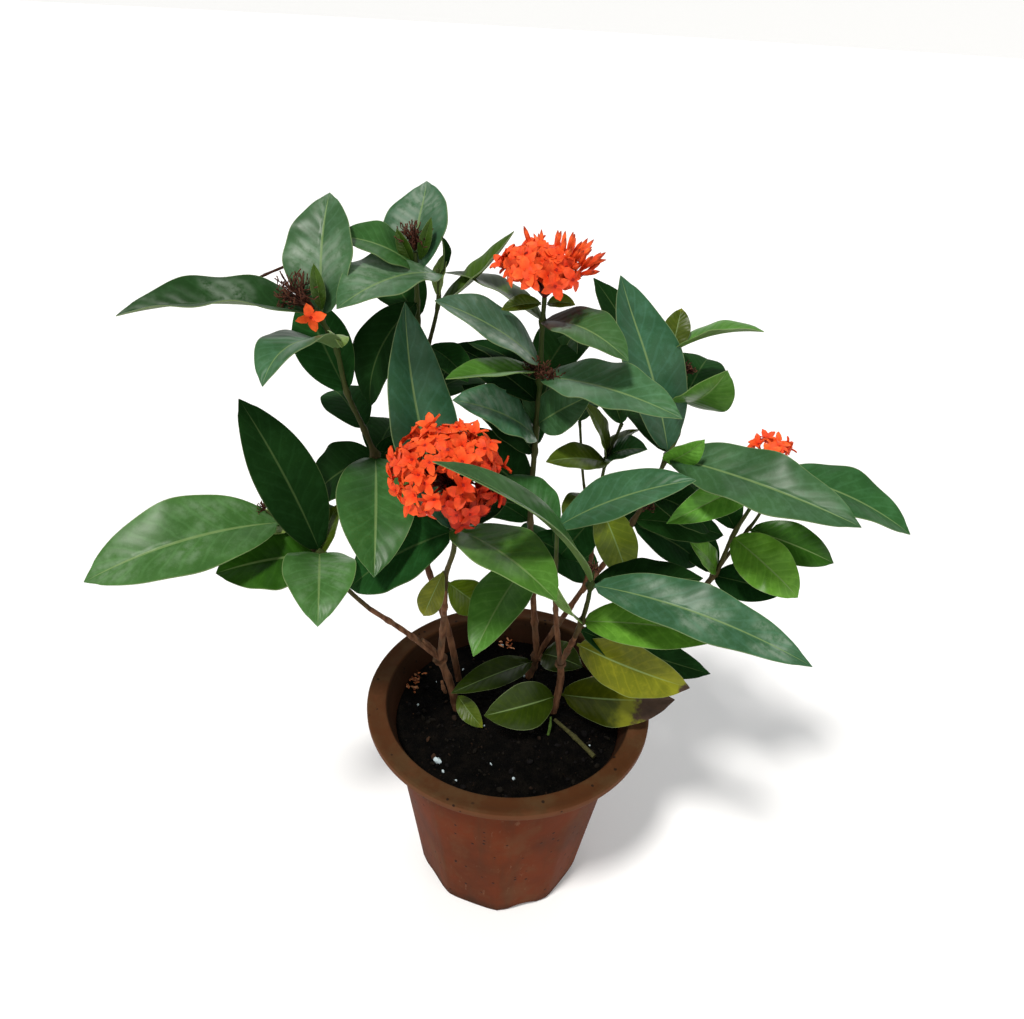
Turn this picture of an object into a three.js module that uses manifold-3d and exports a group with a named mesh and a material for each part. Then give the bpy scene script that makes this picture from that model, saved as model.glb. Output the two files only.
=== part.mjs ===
// A potted ixora: a bushy flowering plant with orange-red heads, standing in a plastic nursery pot.
// Millimetres, +Z up. The origin is the middle of the pot's underside, and -Y is the plant's front.
// Every leafy shoot is one body: a green stem with its leaves sunk into it. Woody stems, old leaves,
// flower heads and dried heads are bodies of their own, a hair's breadth from what carries them.

import * as THREE from 'three';
import { mergeVertices } from 'three/addons/utils/BufferGeometryUtils.js';
import Module from 'manifold-3d';

const wasm = await Module();
wasm.setup();

// ---- driving dimensions ----------------------------------------------------------------------

const GAP = 0.3; // between pieces that touch on the real plant
const TWO_PI = Math.PI * 2;

const POT = {
  height: 180,
  rimRadius: 110, // outside of the flat flange
  openingRadius: 95, // inside of the flange
  lip: 7, // height of the flange's rolled edge
  bodyRadius: 91.5, // of the round body just under the flange
  footRadius: 70.5, // to a corner of the ten-sided foot
  wall: 2.4,
  floor: 8,
  panels: 10,
  flatness: 0.85, // of the panels at the foot, where 1 is dead flat
  sides: 30,
};

const SOIL = {
  edge: 158, // height of the surface at the wall
  dome: 5, // how far the middle stands above that
};

const BLADE = {
  thick: 0.8,
  fold: THREE.MathUtils.degToRad(13), // each half rises from the midrib by this much
  stalk: 1.3, // half the width of the short leaf stalk
};

const FLORET = { lobe: 11, waist: 4.8, thick: 0.9, tube: 1 };

// ---- finishes --------------------------------------------------------------------------------

const finish = (color, roughness) => new THREE.MeshStandardMaterial({ color, roughness, metalness: 0 });

const FINISH = {
  plastic: () => finish(0x6f3d28, 0.6),
  soil: () => finish(0x1d1512, 0.95),
  bark: () => finish(0x6a4a38, 0.8),
  leaf: () => finish(0x1f5a34, 0.35),
  oldLeaf: () => finish(0x77801f, 0.5),
  petal: () => finish(0xf4502a, 0.6),
  dried: () => finish(0x4a1f18, 0.9),
};

// ---- solids ----------------------------------------------------------------------------------

const vec = ([x, y, z]) => new THREE.Vector3(x, y, z);

function indexed(points, faces) {
  const geometry = new THREE.BufferGeometry();
  const numbers = points.flatMap((p) => p.toArray());
  geometry.setAttribute('position', new THREE.Float32BufferAttribute(numbers, 3));
  geometry.setIndex(faces.flat());
  return geometry;
}

function solidOf(geometry) {
  const vertProperties = new Float32Array(geometry.attributes.position.array);
  const triVerts = new Uint32Array(geometry.index.array);
  return new wasm.Manifold(new wasm.Mesh({ numProp: 3, vertProperties, triVerts }));
}

function geometryOf(solid) {
  const mesh = solid.getMesh();
  const geometry = new THREE.BufferGeometry();
  geometry.setAttribute('position', new THREE.Float32BufferAttribute(mesh.vertProperties, 3));
  geometry.setIndex(Array.from(mesh.triVerts));
  return geometry;
}

const fuse = (geometries) => geometryOf(geometries.map(solidOf).reduce((a, b) => a.add(b)));

function cut(geometry, tools) {
  return geometryOf(tools.map(solidOf).reduce((a, b) => a.subtract(b), solidOf(geometry)));
}

// A closed skin through rings of equal length, wound anticlockwise as seen from the far end.
// Its four-cornered facets are split one way, or the other way when `mirrored`.
function loft(rings, mirrored = false) {
  const count = rings[0].length;
  const faces = [];
  for (let i = 0; i < rings.length - 1; i += 1) {
    for (let j = 0; j < count; j += 1) {
      const a = i * count + j;
      const b = i * count + ((j + 1) % count);
      if (mirrored) {
        faces.push([a, b, a + count], [b, b + count, a + count]);
      } else {
        faces.push([a, b, b + count], [a, b + count, a + count]);
      }
    }
  }
  const last = (rings.length - 1) * count;
  for (let j = 1; j < count - 1; j += 1) {
    faces.push([0, j + 1, j], [last, last + j, last + j + 1]);
  }
  return indexed(rings.flat(), faces);
}

// Two directions square to the given one.
function squareTo(axis) {
  const helper = Math.abs(axis.z) < 0.8 ? new THREE.Vector3(0, 0, 1) : new THREE.Vector3(1, 0, 0);
  const u = helper.cross(axis).normalize();
  return [u, axis.clone().cross(u)];
}

const routeCurve = (points) => new THREE.CatmullRomCurve3(points.map(vec), false, 'centripetal');

const WOODY_SIDES = 6;
const GREEN_SIDES = 5;

// A round stem with a ring at each of the given points, tapering from one radius to the other.
function branch(points, [startRadius, endRadius], sides) {
  const curve = routeCurve(points);
  let [normal] = squareTo(curve.getTangent(0));
  const rings = points.map((point, i) => {
    const t = i / (points.length - 1);
    const radius = THREE.MathUtils.lerp(startRadius, endRadius, t);
    const tangent = curve.getTangent(t);
    normal = normal.clone().addScaledVector(tangent, -normal.dot(tangent)).normalize();
    const across = tangent.clone().cross(normal);
    return Array.from({ length: sides }, (_, k) => {
      const angle = (TWO_PI * k) / sides;
      return vec(point)
        .addScaledVector(normal, radius * Math.cos(angle))
        .addScaledVector(across, radius * Math.sin(angle));
    });
  });
  return loft(rings);
}

// The same points, with the first one moved along by the gap between two pieces.
function clearStart(points) {
  const [first, second] = points.map(vec);
  const moved = first.clone().addScaledVector(second.clone().sub(first).normalize(), GAP);
  return [moved.toArray(), ...points.slice(1)];
}

// ---- leaves ----------------------------------------------------------------------------------

const STATIONS = [0, 0.1, 0.32, 0.58, 0.84, 1];
const SHORT_STATIONS = [0, 0.18, 0.56, 1];
const SHORT_LEAF = 46; // a leaf under this length needs fewer stations

// Half the blade's width at s, from 0 at the stem to 1 at the tip, as a share of its full width.
const halfWidth = (s) => 0.5 * Math.max(Math.sin(Math.PI * s ** 0.92), 0) ** 0.92;

// A leaf arches from one point to another by `bow`, with its upper side looking along `faces`.
// Its blade is folded along the midrib, and both faces are split into triangles alike.
function blade({ from, to, wide, bow, faces }) {
  const start = vec(from);
  const end = vec(to);
  const along = end.clone().sub(start);
  const stations = along.length() < SHORT_LEAF ? SHORT_STATIONS : STATIONS;
  along.normalize();
  const up = vec(faces).addScaledVector(along, -vec(faces).dot(along)).normalize();
  const side = along.clone().cross(up);
  const middle = start.clone().add(end).multiplyScalar(0.5).addScaledVector(up, 2 * bow);
  const midrib = new THREE.QuadraticBezierCurve3(start, middle, end);
  const points = [];
  const rows = stations.map((s) => {
    const centre = midrib.getPoint(s);
    const normal = side.clone().cross(midrib.getTangent(s)).normalize();
    const half = Math.max(wide * halfWidth(s), s < 0.5 ? BLADE.stalk : 0.5);
    const place = (across, level) => {
      const rise = Math.abs(across) * half * Math.sin(BLADE.fold) + level;
      const spread = across * half * Math.cos(BLADE.fold);
      return points.push(centre.clone().addScaledVector(side, spread).addScaledVector(normal, rise)) - 1;
    };
    return [BLADE.thick / 2, -BLADE.thick / 2].map((level) => ({
      left: place(-1, level),
      rib: s % 1 ? place(0, level) : null,
      right: place(1, level),
    }));
  });
  const triangles = [];
  const quad = (a, b, c, d) => triangles.push([a, b, c], [a, c, d]);
  rows.slice(1).forEach((far, i) => {
    const near = rows[i];
    [0, 1].forEach((layer) => {
      const add = (a, b, c) => triangles.push(layer ? [a, c, b] : [a, b, c]);
      const { left, rib, right } = near[layer];
      const next = far[layer];
      if (rib === null) {
        add(left, right, next.rib);
        add(left, next.rib, next.left);
        add(right, next.right, next.rib);
      } else {
        add(rib, next.left, left);
        add(rib, right, next.right);
        if (next.rib === null) {
          add(rib, next.right, next.left);
        } else {
          add(rib, next.rib, next.left);
          add(rib, next.right, next.rib);
        }
      }
    });
    quad(near[0].left, far[0].left, far[1].left, near[1].left);
    quad(near[0].right, near[1].right, far[1].right, far[0].right);
  });
  const [upper, lower] = rows[0];
  quad(upper.right, upper.left, lower.left, lower.right);
  const [tipUpper, tipLower] = rows[rows.length - 1];
  quad(tipUpper.right, tipLower.right, tipLower.left, tipUpper.left);
  return indexed(points, triangles);
}

// ---- the plant: woody stems ------------------------------------------------------------------
// Each stem starts below the soil. A fork is a route with the radii of its two ends.

const fork = (route, thick, thin) => ({ route, radii: [thick, thin] });

const STEMS = {
  stem_left: [
    fork([[-36, 0, 134], [-40, 0, 158], [-46, 0, 188], [-54, -2, 217]], 3.9, 3.4),
    fork([[-54, -2, 215], [-51, -8, 255], [-49, -18, 296]], 3.2, 2.4),
    fork([[-54, -2, 217], [-79, -8, 247], [-103, -14, 272]], 2.7, 2.1),
    fork([[-54, -2, 216], [-60, -3, 228], [-67, -5, 238]], 1.9, 1.4),
  ],
  stem_back_left: [
    fork([[-38, 36, 134], [-41, 33, 158], [-50, 28, 217], [-67, 18, 294]], 3.4, 2.9),
    fork([[-67, 18, 292], [-77, 13, 325], [-87, 8, 355]], 2.5, 2.2),
    fork([[-67, 18, 292], [-71, 23, 330], [-71, 26, 365]], 2.3, 2.1),
  ],
  stem_middle: [
    fork([[12, 43, 134], [16, 41, 158], [22, 38, 189]], 4.2, 3.7),
    fork([[22, 38, 187], [15, 34, 249], [12, 31, 280]], 3.2, 2.6),
    fork([[22, 38, 188], [37, 32, 230], [51, 26, 268]], 2.9, 2.4),
    fork([[51, 26, 266], [66, 20, 302], [76, 14, 332]], 2.3, 2),
    fork([[51, 26, 267], [54, 24, 290], [54, 22, 312]], 1.9, 1.6),
  ],
  stem_front_right: [
    fork([[34, 4, 134], [36, 2, 158], [39, -2, 201], [37, -6, 223]], 3.9, 3.1),
    fork([[37, -6, 221], [41, -12, 241], [44, -20, 261]], 2.6, 2.2),
    fork([[37, -6, 222], [31, -8, 261], [27, -14, 295]], 2.4, 2),
  ],
  stem_far_right: [
    fork([[74, 20, 134], [80, 19, 158], [103, 20, 221], [126, 17, 264]], 3.2, 2.3),
  ],
};

// ---- the plant: leafy shoots -----------------------------------------------------------------
// The first stem of a shoot runs on from where a woody stem ends. A leaf gives the point of a stem
// that it grows from, its tip, its width, its arch and where its upper side looks.

const leaf = (from, to, wide, bow, faces) => ({ from, to, wide, bow, faces });

const SHOOTS = {
  shoot_upper_left: {
    stems: [
      fork(
        [[-87, 8, 355], [-97, 4, 386], [-104, 2, 408], [-112, 0, 431], [-116, -6, 464], [-125, -11, 487]],
        2.2,
        1.7,
      ),
    ],
    leaves: [
      leaf([-122, -9, 481], [-226, -38, 486], 44, 8, [0, -1, 9]),
      leaf([-121, -9, 481], [-121, 30, 542], 50, 6, [-6, -9, 7]),
      leaf([-115, -4, 460], [-145, -62, 462], 40, 13, [-3, -3, 9]),
      leaf([-112, 0, 431], [-143, 34, 478], 36, 6, [-3, -4, 9]),
      leaf([-118, -8, 474], [-118, 0, 504], 12, 2, [9, -3, 1]),
      leaf([-118, -7, 470], [-106, -21, 464], 14, 3, [6, -1, 9]),
      leaf([-97, 4, 385], [-85, -82, 352], 50, 8, [2, -5, 9]),
      leaf([-97, 4, 386], [-145, 16, 341], 44, 6, [-1, -4, 7]),
      leaf([-98, 4, 389], [-78, 32, 368], 26, 4, [9, -3, 5]),
      leaf([-103, 2, 405], [-136, 66, 402], 32, 6, [0, 2, 9]),
      leaf([-97, 4, 384], [-92, 76, 376], 34, 7, [0, 1, 9]),
    ],
  },
  shoot_top: {
    stems: [
      fork([[-71, 26, 365], [-71, 28, 416], [-71, 28, 470], [-72, 26, 512]], 2.1, 1.7),
      fork([[-71, 28, 434], [-63, 28, 460], [-58, 26, 484], [-58, 26, 503]], 1.7, 1.3),
    ],
    leaves: [
      leaf([-71, 27, 500], [-67, 62, 542], 46, 6, [-5, -8, 9]),
      leaf([-72, 26, 503], [-113, 8, 523], 26, 5, [2, -2, 9]),
      leaf([-58, 26, 500], [-108, -30, 494], 48, 7, [0, -2, 9]),
      leaf([-58, 26, 500], [-56, 22, 523], 12, 2, [9, -3, 2]),
      leaf([-58, 26, 486], [-53, 31, 512], 13, 2, [-9, -7, 1]),
      leaf([-71, 27, 482], [-100, 12, 417], 38, 13, [-6, -9, 8]),
      leaf([-65, 28, 453], [-38, 10, 438], 26, 4, [6, -7, 9]),
      leaf([-58, 26, 480], [-14, 40, 524], 34, 6, [-9, -3, 4]),
      leaf([-71, 28, 470], [-104, 90, 478], 36, 7, [0, 1, 9]),
      leaf([-71, 28, 416], [-74, 100, 418], 36, 7, [0, 1, 9]),
      leaf([-71, 28, 415], [-30, 88, 408], 34, 7, [0, 1, 9]),
    ],
  },
  shoot_centre: {
    stems: [
      fork([[12, 31, 280], [8, 28, 327], [7, 20, 395], [7, 13, 444], [6, 12, 470], [6, 11, 494]], 2.6, 1.7),
    ],
    leaves: [
      leaf([6, 12, 479], [-57, 50, 494], 28, 6, [2, 0, 9]),
      leaf([6, 12, 479], [54, -30, 473], 34, 8, [0, -3, 9]),
      leaf([6, 12, 452], [-56, -16, 497], 38, 8, [7, -3, 9]),
      leaf([6, 13, 447], [-46, -36, 463], 30, 6, [1, 0, 9]),
      leaf([7, 13, 443], [86, -46, 447], 42, 6, [-2, -2, 9]),
      leaf([7, 19, 404], [29, 48, 461], 38, 6, [-8, -9, 7]),
      leaf([7, 13, 440], [-40, 34, 455], 26, 4, [3, -2, 9]),
      leaf([7, 19, 398], [-45, -22, 443], 36, 6, [8, -3, 9]),
      leaf([7, 21, 384], [-43, 30, 427], 36, 6, [7, -7, 9]),
      leaf([11, 30, 290], [-27, -46, 261], 42, 8, [-2, -3, 9]),
      leaf([7, 14, 440], [34, 78, 454], 36, 7, [0, 1, 9]),
      leaf([7, 21, 388], [-12, 90, 388], 36, 8, [0, 1, 9]),
      leaf([11, 30, 286], [26, 98, 272], 38, 8, [0, 2, 9]),
      leaf([8, 28, 325], [-36, 74, 316], 34, 7, [-1, 2, 9]),
    ],
  },
  shoot_right: {
    stems: [
      fork(
        [[76, 14, 332], [86, 6, 368], [92, 5, 394], [99, 14, 408], [101, 26, 427], [102, 33, 441]],
        2,
        1.6,
      ),
      fork([[99, 15, 409], [94, 30, 436], [91, 36, 457]], 1.5, 1.2),
    ],
    leaves: [
      leaf([93, 6, 398], [51, 44, 498], 50, 6, [6, -9, 6]),
      leaf([99, 14, 408], [40, 78, 488], 42, 6, [6, -9, 9]),
      leaf([91, 36, 455], [96, 52, 479], 18, 2, [-2, -9, 5]),
      leaf([91, 36, 455], [143, 24, 476], 28, 5, [0, 1, 9]),
      leaf([101, 25, 426], [118, -2, 460], 38, 6, [3, -6, 5]),
      leaf([92, 5, 396], [195, -66, 394], 46, 6, [-2, -4, 9]),
      leaf([92, 5, 392], [109, -16, 420], 20, 3, [1, -9, 2]),
      leaf([85, 7, 366], [130, 4, 340], 36, 6, [-1, -3, 9]),
      leaf([101, 25, 425], [128, 88, 432], 36, 7, [0, 1, 9]),
      leaf([93, 6, 397], [80, 84, 396], 36, 8, [0, 1, 9]),
      leaf([77, 13, 335], [104, 84, 326], 36, 8, [0, 1, 9]),
    ],
  },
  shoot_slender: {
    stems: [
      fork([[54, 22, 312], [54, 20, 350], [55, 16, 384], [62, 15, 413]], 1.6, 1.2),
      fork([[54, 21, 325], [44, 24, 356], [36, 30, 406]], 1.3, 1.1),
    ],
    leaves: [
      leaf([55, 16, 385], [35, 6, 430], 20, 4, [9, -3, 3]),
      leaf([55, 16, 385], [78, 34, 400], 18, 4, [-3, 2, 9]),
      leaf([55, 16, 383], [16, -2, 393], 22, 4, [2, 1, 9]),
      leaf([55, 16, 386], [77, -6, 406], 22, 4, [2, -6, 9]),
      leaf([54, 20, 350], [72, -4, 338], 32, 5, [3, -2, 9]),
      leaf([54, 20, 352], [32, -2, 342], 30, 5, [-3, -2, 9]),
      leaf([62, 15, 412], [50, 48, 426], 22, 4, [-1, -1, 9]),
      leaf([36, 30, 405], [52, 76, 416], 24, 5, [0, 1, 9]),
    ],
  },
  shoot_low_front: {
    stems: [fork([[27, -14, 295], [26, -18, 313], [23, -29, 361]], 2, 1.5)],
    leaves: [
      leaf([23, -28, 358], [101, -44, 407], 37, 7, [-5, -3, 9]),
      leaf([23, -28, 357], [-14, 4, 374], 30, 6, [1, -1, 9]),
    ],
  },
  shoot_front_right: {
    stems: [fork([[44, -20, 261], [46, -28, 281], [48, -33, 305], [48, -37, 331]], 2.2, 1.8)],
    leaves: [
      leaf([48, -35, 319], [180, -92, 309], 39, 14, [-1, -4, 9]),
      leaf([46, -28, 282], [141, -50, 294], 36, 7, [-1, -5, 8]),
      leaf([48, -35, 320], [-46, -125, 455], 34, 12, [9, 2, 9]),
      leaf([46, -28, 283], [23, -54, 334], 22, 3, [-9, -9, 2]),
      leaf([45, -24, 271], [152, -3, 216], 35, 13, [2, 1, 9]),
      leaf([48, -35, 318], [124, -24, 326], 36, 6, [1, -1, 9]),
    ],
  },
  shoot_front: {
    stems: [
      fork(
        [
          [-49, -18, 296],
          [-48, -24, 313],
          [-42, -38, 343],
          [-41, -47, 364],
          [-42, -55, 388],
          [-43, -60, 402],
        ],
        2.4,
        1.8,
      ),
    ],
    leaves: [
      leaf([-41, -47, 365], [20, -112, 365], 50, 6, [1, 0, 9]),
      leaf([-41, -47, 364], [-107, -50, 318], 50, 8, [-2, -1, 9]),
      leaf([-41, -46, 361], [-75, 0, 490], 50, -12, [9, -9, 5]),
      leaf([-41, -46, 359], [-14, 12, 353], 34, 6, [0, 1, 9]),
    ],
  },
  shoot_left: {
    stems: [
      fork([[-103, -14, 272], [-116, -18, 291], [-133, -24, 328]], 2.1, 1.7),
      fork([[-130, -23, 320], [-146, -22, 336], [-165, -20, 354]], 1.3, 1),
    ],
    leaves: [
      leaf([-132, -23, 326], [-180, 0, 423], 43, 9, [7, -9, 6]),
      leaf([-148, -22, 338], [-260, -78, 334], 58, 13, [0, -5, 9]),
      leaf([-132, -23, 323], [-192, -50, 324], 52, 5, [1, -2, 9]),
      leaf([-132, -24, 325], [-118, -92, 322], 46, 10, [1, 0, 9]),
      leaf([-150, -22, 340], [-184, -2, 334], 20, 3, [-1, 0, 9]),
      leaf([-131, -23, 323], [-123, 0, 349], 18, 3, [-5, -9, 5]),
      leaf([-131, -23, 323], [-150, 38, 322], 34, 7, [0, 1, 9]),
    ],
  },
  shoot_far_right: {
    stems: [
      fork([[126, 17, 264], [143, 14, 296], [149, 10, 335], [159, 8, 373], [160, 8, 398]], 2.3, 1.4),
      fork([[142, 14, 294], [154, 16, 322], [166, 16, 351], [168, 14, 384]], 1.6, 1.2),
    ],
    leaves: [
      leaf([168, 14, 382], [246, -30, 368], 44, 8, [0, -2, 9]),
      leaf([149, 10, 333], [189, -30, 313], 36, 7, [-3, -5, 6]),
      leaf([161, 16, 338], [217, -4, 328], 30, 5, [-2, -4, 5]),
      leaf([143, 14, 296], [187, -8, 300], 28, 4, [-2, -5, 5]),
      leaf([144, 13, 300], [119, 6, 329], 20, 3, [9, -6, 5]),
      leaf([159, 8, 384], [93, -24, 363], 26, 6, [3, -5, 6]),
      leaf([168, 15, 376], [167, 76, 359], 34, 7, [0, 1, 9]),
      leaf([150, 10, 338], [128, 66, 346], 34, 7, [0, 1, 9]),
      leaf([143, 14, 297], [120, 74, 296], 34, 7, [0, 1, 9]),
    ],
  },
};

// ---- the plant: old yellowing leaves near the soil ---------------------------------------------
// Each starts in the middle of the woody or green stem that it is on.

const woody = (name, index) => ({ ...STEMS[name][index], sides: WOODY_SIDES });
const FRONT_RIGHT = woody('stem_front_right', 0);
const FRONT = { ...SHOOTS.shoot_front.stems[0], sides: GREEN_SIDES };

const OLD_LEAVES = {
  old_leaf_yellow: [woody('stem_front_right', 1), leaf([43, -17, 253], [124, -48, 244], 41, 4, [-1, -8, 2])],
  old_leaf_spotted: [FRONT_RIGHT, leaf([38, 0, 184], [121, -30, 214], 42, 4, [-2, -9, 3])],
  old_leaf_low_front: [FRONT_RIGHT, leaf([38, -1, 183], [-18, -36, 194], 34, 4, [4, -6, 6])],
  old_leaf_low_small: [woody('stem_middle', 0), leaf([21, 39, 182], [-44, -14, 203], 24, 4, [3, 2, 9])],
  old_leaf_low_middle: [woody('stem_middle', 2), leaf([24, 37, 192], [56, 8, 206], 28, 4, [-3, -1, 9])],
  old_leaf_brown: [woody('stem_left', 0), leaf([-44, 0, 178], [-24, -8, 166], 18, 3, [-6, -9, 1])],
  old_leaf_left: [FRONT, leaf([-47, -25, 316], [-63, -24, 279], 20, 3, [-2, -9, 2])],
  old_leaf_inner: [FRONT, leaf([-48, -22, 306], [-25, 26, 246], 28, 2, [8, -6, 3])],
};

// A leaf trimmed back until it stands just clear of its stem.
function oldLeaf([{ route, radii, sides }, shape]) {
  const clearance = GAP / Math.cos(Math.PI / sides);
  return cut(blade(shape), [branch(route, radii.map((r) => r + clearance), sides)]);
}

// ---- the plant: flower heads and dried heads ---------------------------------------------------
// A head stands on the end of a shoot's first stem, and spreads over `spread` degrees from its axis.

const HEADS = {
  flower_head_top: { shoot: 'shoot_centre', radius: 33, florets: 21, spread: 80, core: 16, size: 1 },
  flower_head_front: { shoot: 'shoot_front', radius: 35, florets: 22, spread: 84, core: 16, size: 1 },
  flower_head_right: { shoot: 'shoot_far_right', radius: 14, florets: 5, spread: 60, core: 4, size: 0.85 },
};

const DRIED_HEADS = {
  dried_head_left: { shoot: 'shoot_upper_left', stem: 0, radius: 10, core: 3.4 },
  dried_head_top: { shoot: 'shoot_top', stem: 0, radius: 10, core: 3.6 },
  dried_head_right: { shoot: 'shoot_right', stem: 0, radius: 6, core: 2.4 },
  dried_head_front: { shoot: 'shoot_front_right', stem: 0, radius: 5, core: 2 },
  dried_head_low_left: { shoot: 'shoot_left', stem: 1, radius: 5, core: 1.8 },
};

const SINGLE_FLORET = { from: [-123, -15, 485], to: [-121, -26, 484] };

const GOLDEN_ANGLE = Math.PI * (3 - Math.sqrt(5));

// Directions spread evenly over a cap around an axis.
function capDirections(axis, count, spreadDegrees) {
  const lowest = Math.cos(THREE.MathUtils.degToRad(spreadDegrees));
  const turn = new THREE.Quaternion().setFromUnitVectors(new THREE.Vector3(0, 0, 1), axis);
  return Array.from({ length: count }, (_, i) => {
    const z = 1 - ((i + 0.5) / count) * (1 - lowest);
    const r = Math.sqrt(1 - z * z);
    const angle = i * GOLDEN_ANGLE;
    return new THREE.Vector3(r * Math.cos(angle), r * Math.sin(angle), z).applyQuaternion(turn);
  });
}

// Four pointed lobes spread flat at the end of a slender tube, all one skin.
function floret(root, face, spin, size) {
  const axis = face.clone().sub(root).normalize();
  const [u, v] = squareTo(axis);
  const around = (centre, turn, radius, height) => {
    const angle = spin + (TWO_PI * turn) / 8;
    return centre
      .clone()
      .addScaledVector(u, radius * Math.cos(angle))
      .addScaledVector(v, radius * Math.sin(angle))
      .addScaledVector(axis, height);
  };
  const { thick, tube } = FLORET;
  const radiusOf = (turn) => size * (turn % 2 ? FLORET.waist : FLORET.lobe);
  const corners = [0, 1, 2, 3, 4, 5, 6, 7];
  const quarters = [0, 2, 4, 6];
  const points = [
    ...quarters.map((turn) => around(root, turn, tube, 0)),
    ...quarters.map((turn) => around(face, turn, tube, -thick)),
    ...[-thick, 0].flatMap((height) => corners.map((turn) => around(face, turn, radiusOf(turn), height))),
  ];
  const triangles = [[0, 3, 2], [0, 2, 1]];
  quarters.forEach((_, i) => {
    const j = (i + 1) % 4;
    triangles.push([i, j, 4 + j], [i, 4 + j, 4 + i]);
    triangles.push([4 + i, 9 + 2 * i, 8 + 2 * i], [4 + i, 4 + j, 9 + 2 * i], [4 + j, 8 + 2 * j, 9 + 2 * i]);
  });
  corners.forEach((i) => {
    const j = (i + 1) % 8;
    triangles.push([8 + i, 8 + j, 16 + j], [8 + i, 16 + j, 16 + i]);
  });
  quarters.forEach((i) => triangles.push([16 + i, 17 + i, 16 + ((i + 7) % 8)]));
  triangles.push([17, 19, 21], [17, 21, 23]);
  return indexed(points, triangles);
}

const BALL_CORNER = new THREE.Vector3(-1, (1 + Math.sqrt(5)) / 2, 0).normalize();

// A ball of flat facets, with a corner that looks back against the axis.
function ball(centre, axis, radius, detail) {
  const sphere = new THREE.IcosahedronGeometry(radius, detail);
  sphere.deleteAttribute('normal');
  sphere.deleteAttribute('uv');
  const turn = new THREE.Quaternion().setFromUnitVectors(BALL_CORNER, axis.clone().negate());
  return mergeVertices(sphere.applyQuaternion(turn)).translate(centre.x, centre.y, centre.z);
}

// Where a shoot's stem ends, and which way it points there.
function stemEnd(shoot, stem) {
  const curve = routeCurve(SHOOTS[shoot].stems[stem].route);
  return { end: curve.getPointAt(1), axis: curve.getTangentAt(1) };
}

function flowerHead({ shoot, radius, florets, spread, core, size }) {
  const { end, axis } = stemEnd(shoot, 0);
  const root = end.clone().addScaledVector(axis, GAP + core);
  const middle = end.clone().addScaledVector(axis, GAP + 0.3 * core);
  const parts = capDirections(axis, florets, spread).map((direction, i) => {
    const reach = radius * (1 - 0.035 * ((i * 3) % 7));
    return floret(root, middle.clone().addScaledVector(direction, reach), i * 1.9, size);
  });
  return fuse([ball(root, axis, core, 0), ...parts]);
}

// What is left of a spent head: a knot of short dry stalks, the upper corners of a ball drawn out.
function driedHead({ shoot, stem, radius, core }) {
  const { end, axis } = stemEnd(shoot, stem);
  const centre = end.clone().addScaledVector(axis, GAP + core);
  const knot = ball(centre, axis, core, 1);
  const spots = knot.attributes.position;
  const coarse = ball(new THREE.Vector3(), axis, 1, 0).attributes.position;
  const spot = (attribute, i) => new THREE.Vector3().fromBufferAttribute(attribute, i);
  const stalks = Array.from({ length: coarse.count }, (_, i) => spot(coarse, i));
  for (let i = 0; i < spots.count; i += 1) {
    const direction = spot(spots, i).sub(centre).normalize();
    if (direction.dot(axis) > 0.1 && stalks.some((stalk) => stalk.dot(direction) > 0.99)) {
      const tip = centre.clone().addScaledVector(direction, radius * (1 + 0.12 * (i % 3)));
      spots.setXYZ(i, ...tip.toArray());
    }
  }
  return knot;
}

// ---- the pot and its soil ----------------------------------------------------------------------

const FOOT = {
  hollow: 3, // depth of the hollow between the foot ring and the middle pad
  padRadius: 16,
  ringRadius: 55,
  archWide: 30, // of the shallow arches that let water out under every second panel
  archHigh: 4.5,
  holes: 4,
  holeRadius: 5,
  holeCircle: 36,
};

const SHOULDER = 163; // height at which the body turns out to the flange
const LEVELS = [4.5, 60, 115, SHOULDER]; // of the body's rings

// How far a flat-sided outline lies inside its corner circle, with a corner facing the front.
function panelShare(angle) {
  const panel = TWO_PI / POT.panels;
  const fromMiddle = ((angle + panel / 2) % panel) - panel / 2;
  return Math.cos(panel / 2) / Math.cos(fromMiddle);
}

// The foot is ten-sided, and the wall turns round on its way up to the shoulder.
function potRing([z, radius]) {
  const flatness = POT.flatness * Math.max(0, 1 - (z / SHOULDER) ** 1.6);
  return Array.from({ length: POT.sides }, (_, i) => {
    const angle = TWO_PI * (i / POT.sides + 0.5 / POT.panels);
    const r = radius * (1 - flatness + flatness * panelShare(angle));
    return new THREE.Vector3(r * Math.cos(angle), r * Math.sin(angle), z);
  });
}

const bodyRadius = (z) => THREE.MathUtils.mapLinear(z, LEVELS[0], SHOULDER, POT.footRadius, POT.bodyRadius);

function potShell() {
  const { height, rimRadius, openingRadius, lip, wall, floor } = POT;
  const foot = [
    [0, POT.footRadius - 4],
    [1.8, POT.footRadius - 1.2],
  ];
  const body = LEVELS.map((z) => [z, bodyRadius(z)]);
  const flange = [
    [SHOULDER + 6, POT.bodyRadius + 2],
    [height - 4, openingRadius + 2.5],
    [height - 3.4, rimRadius - 4],
    [height - lip + 0.6, rimRadius - 3],
    [height - lip, rimRadius - 1],
    [height - lip + 1.4, rimRadius],
    [height - 1.6, rimRadius],
    [height, rimRadius - 2.4],
    [height - 0.8, (rimRadius + openingRadius) / 2],
    [height - 0.4, openingRadius + 1.4],
    [height - 1.8, openingRadius],
  ];
  const inside = body.slice(1).reverse().map(([z, r]) => [z, r - wall]);
  inside.unshift([SHOULDER + 6, POT.bodyRadius - 0.6]);
  inside.push([floor, bodyRadius(floor) - wall]);
  return loft([...foot, ...body, ...flange, ...inside].map(potRing));
}

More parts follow.
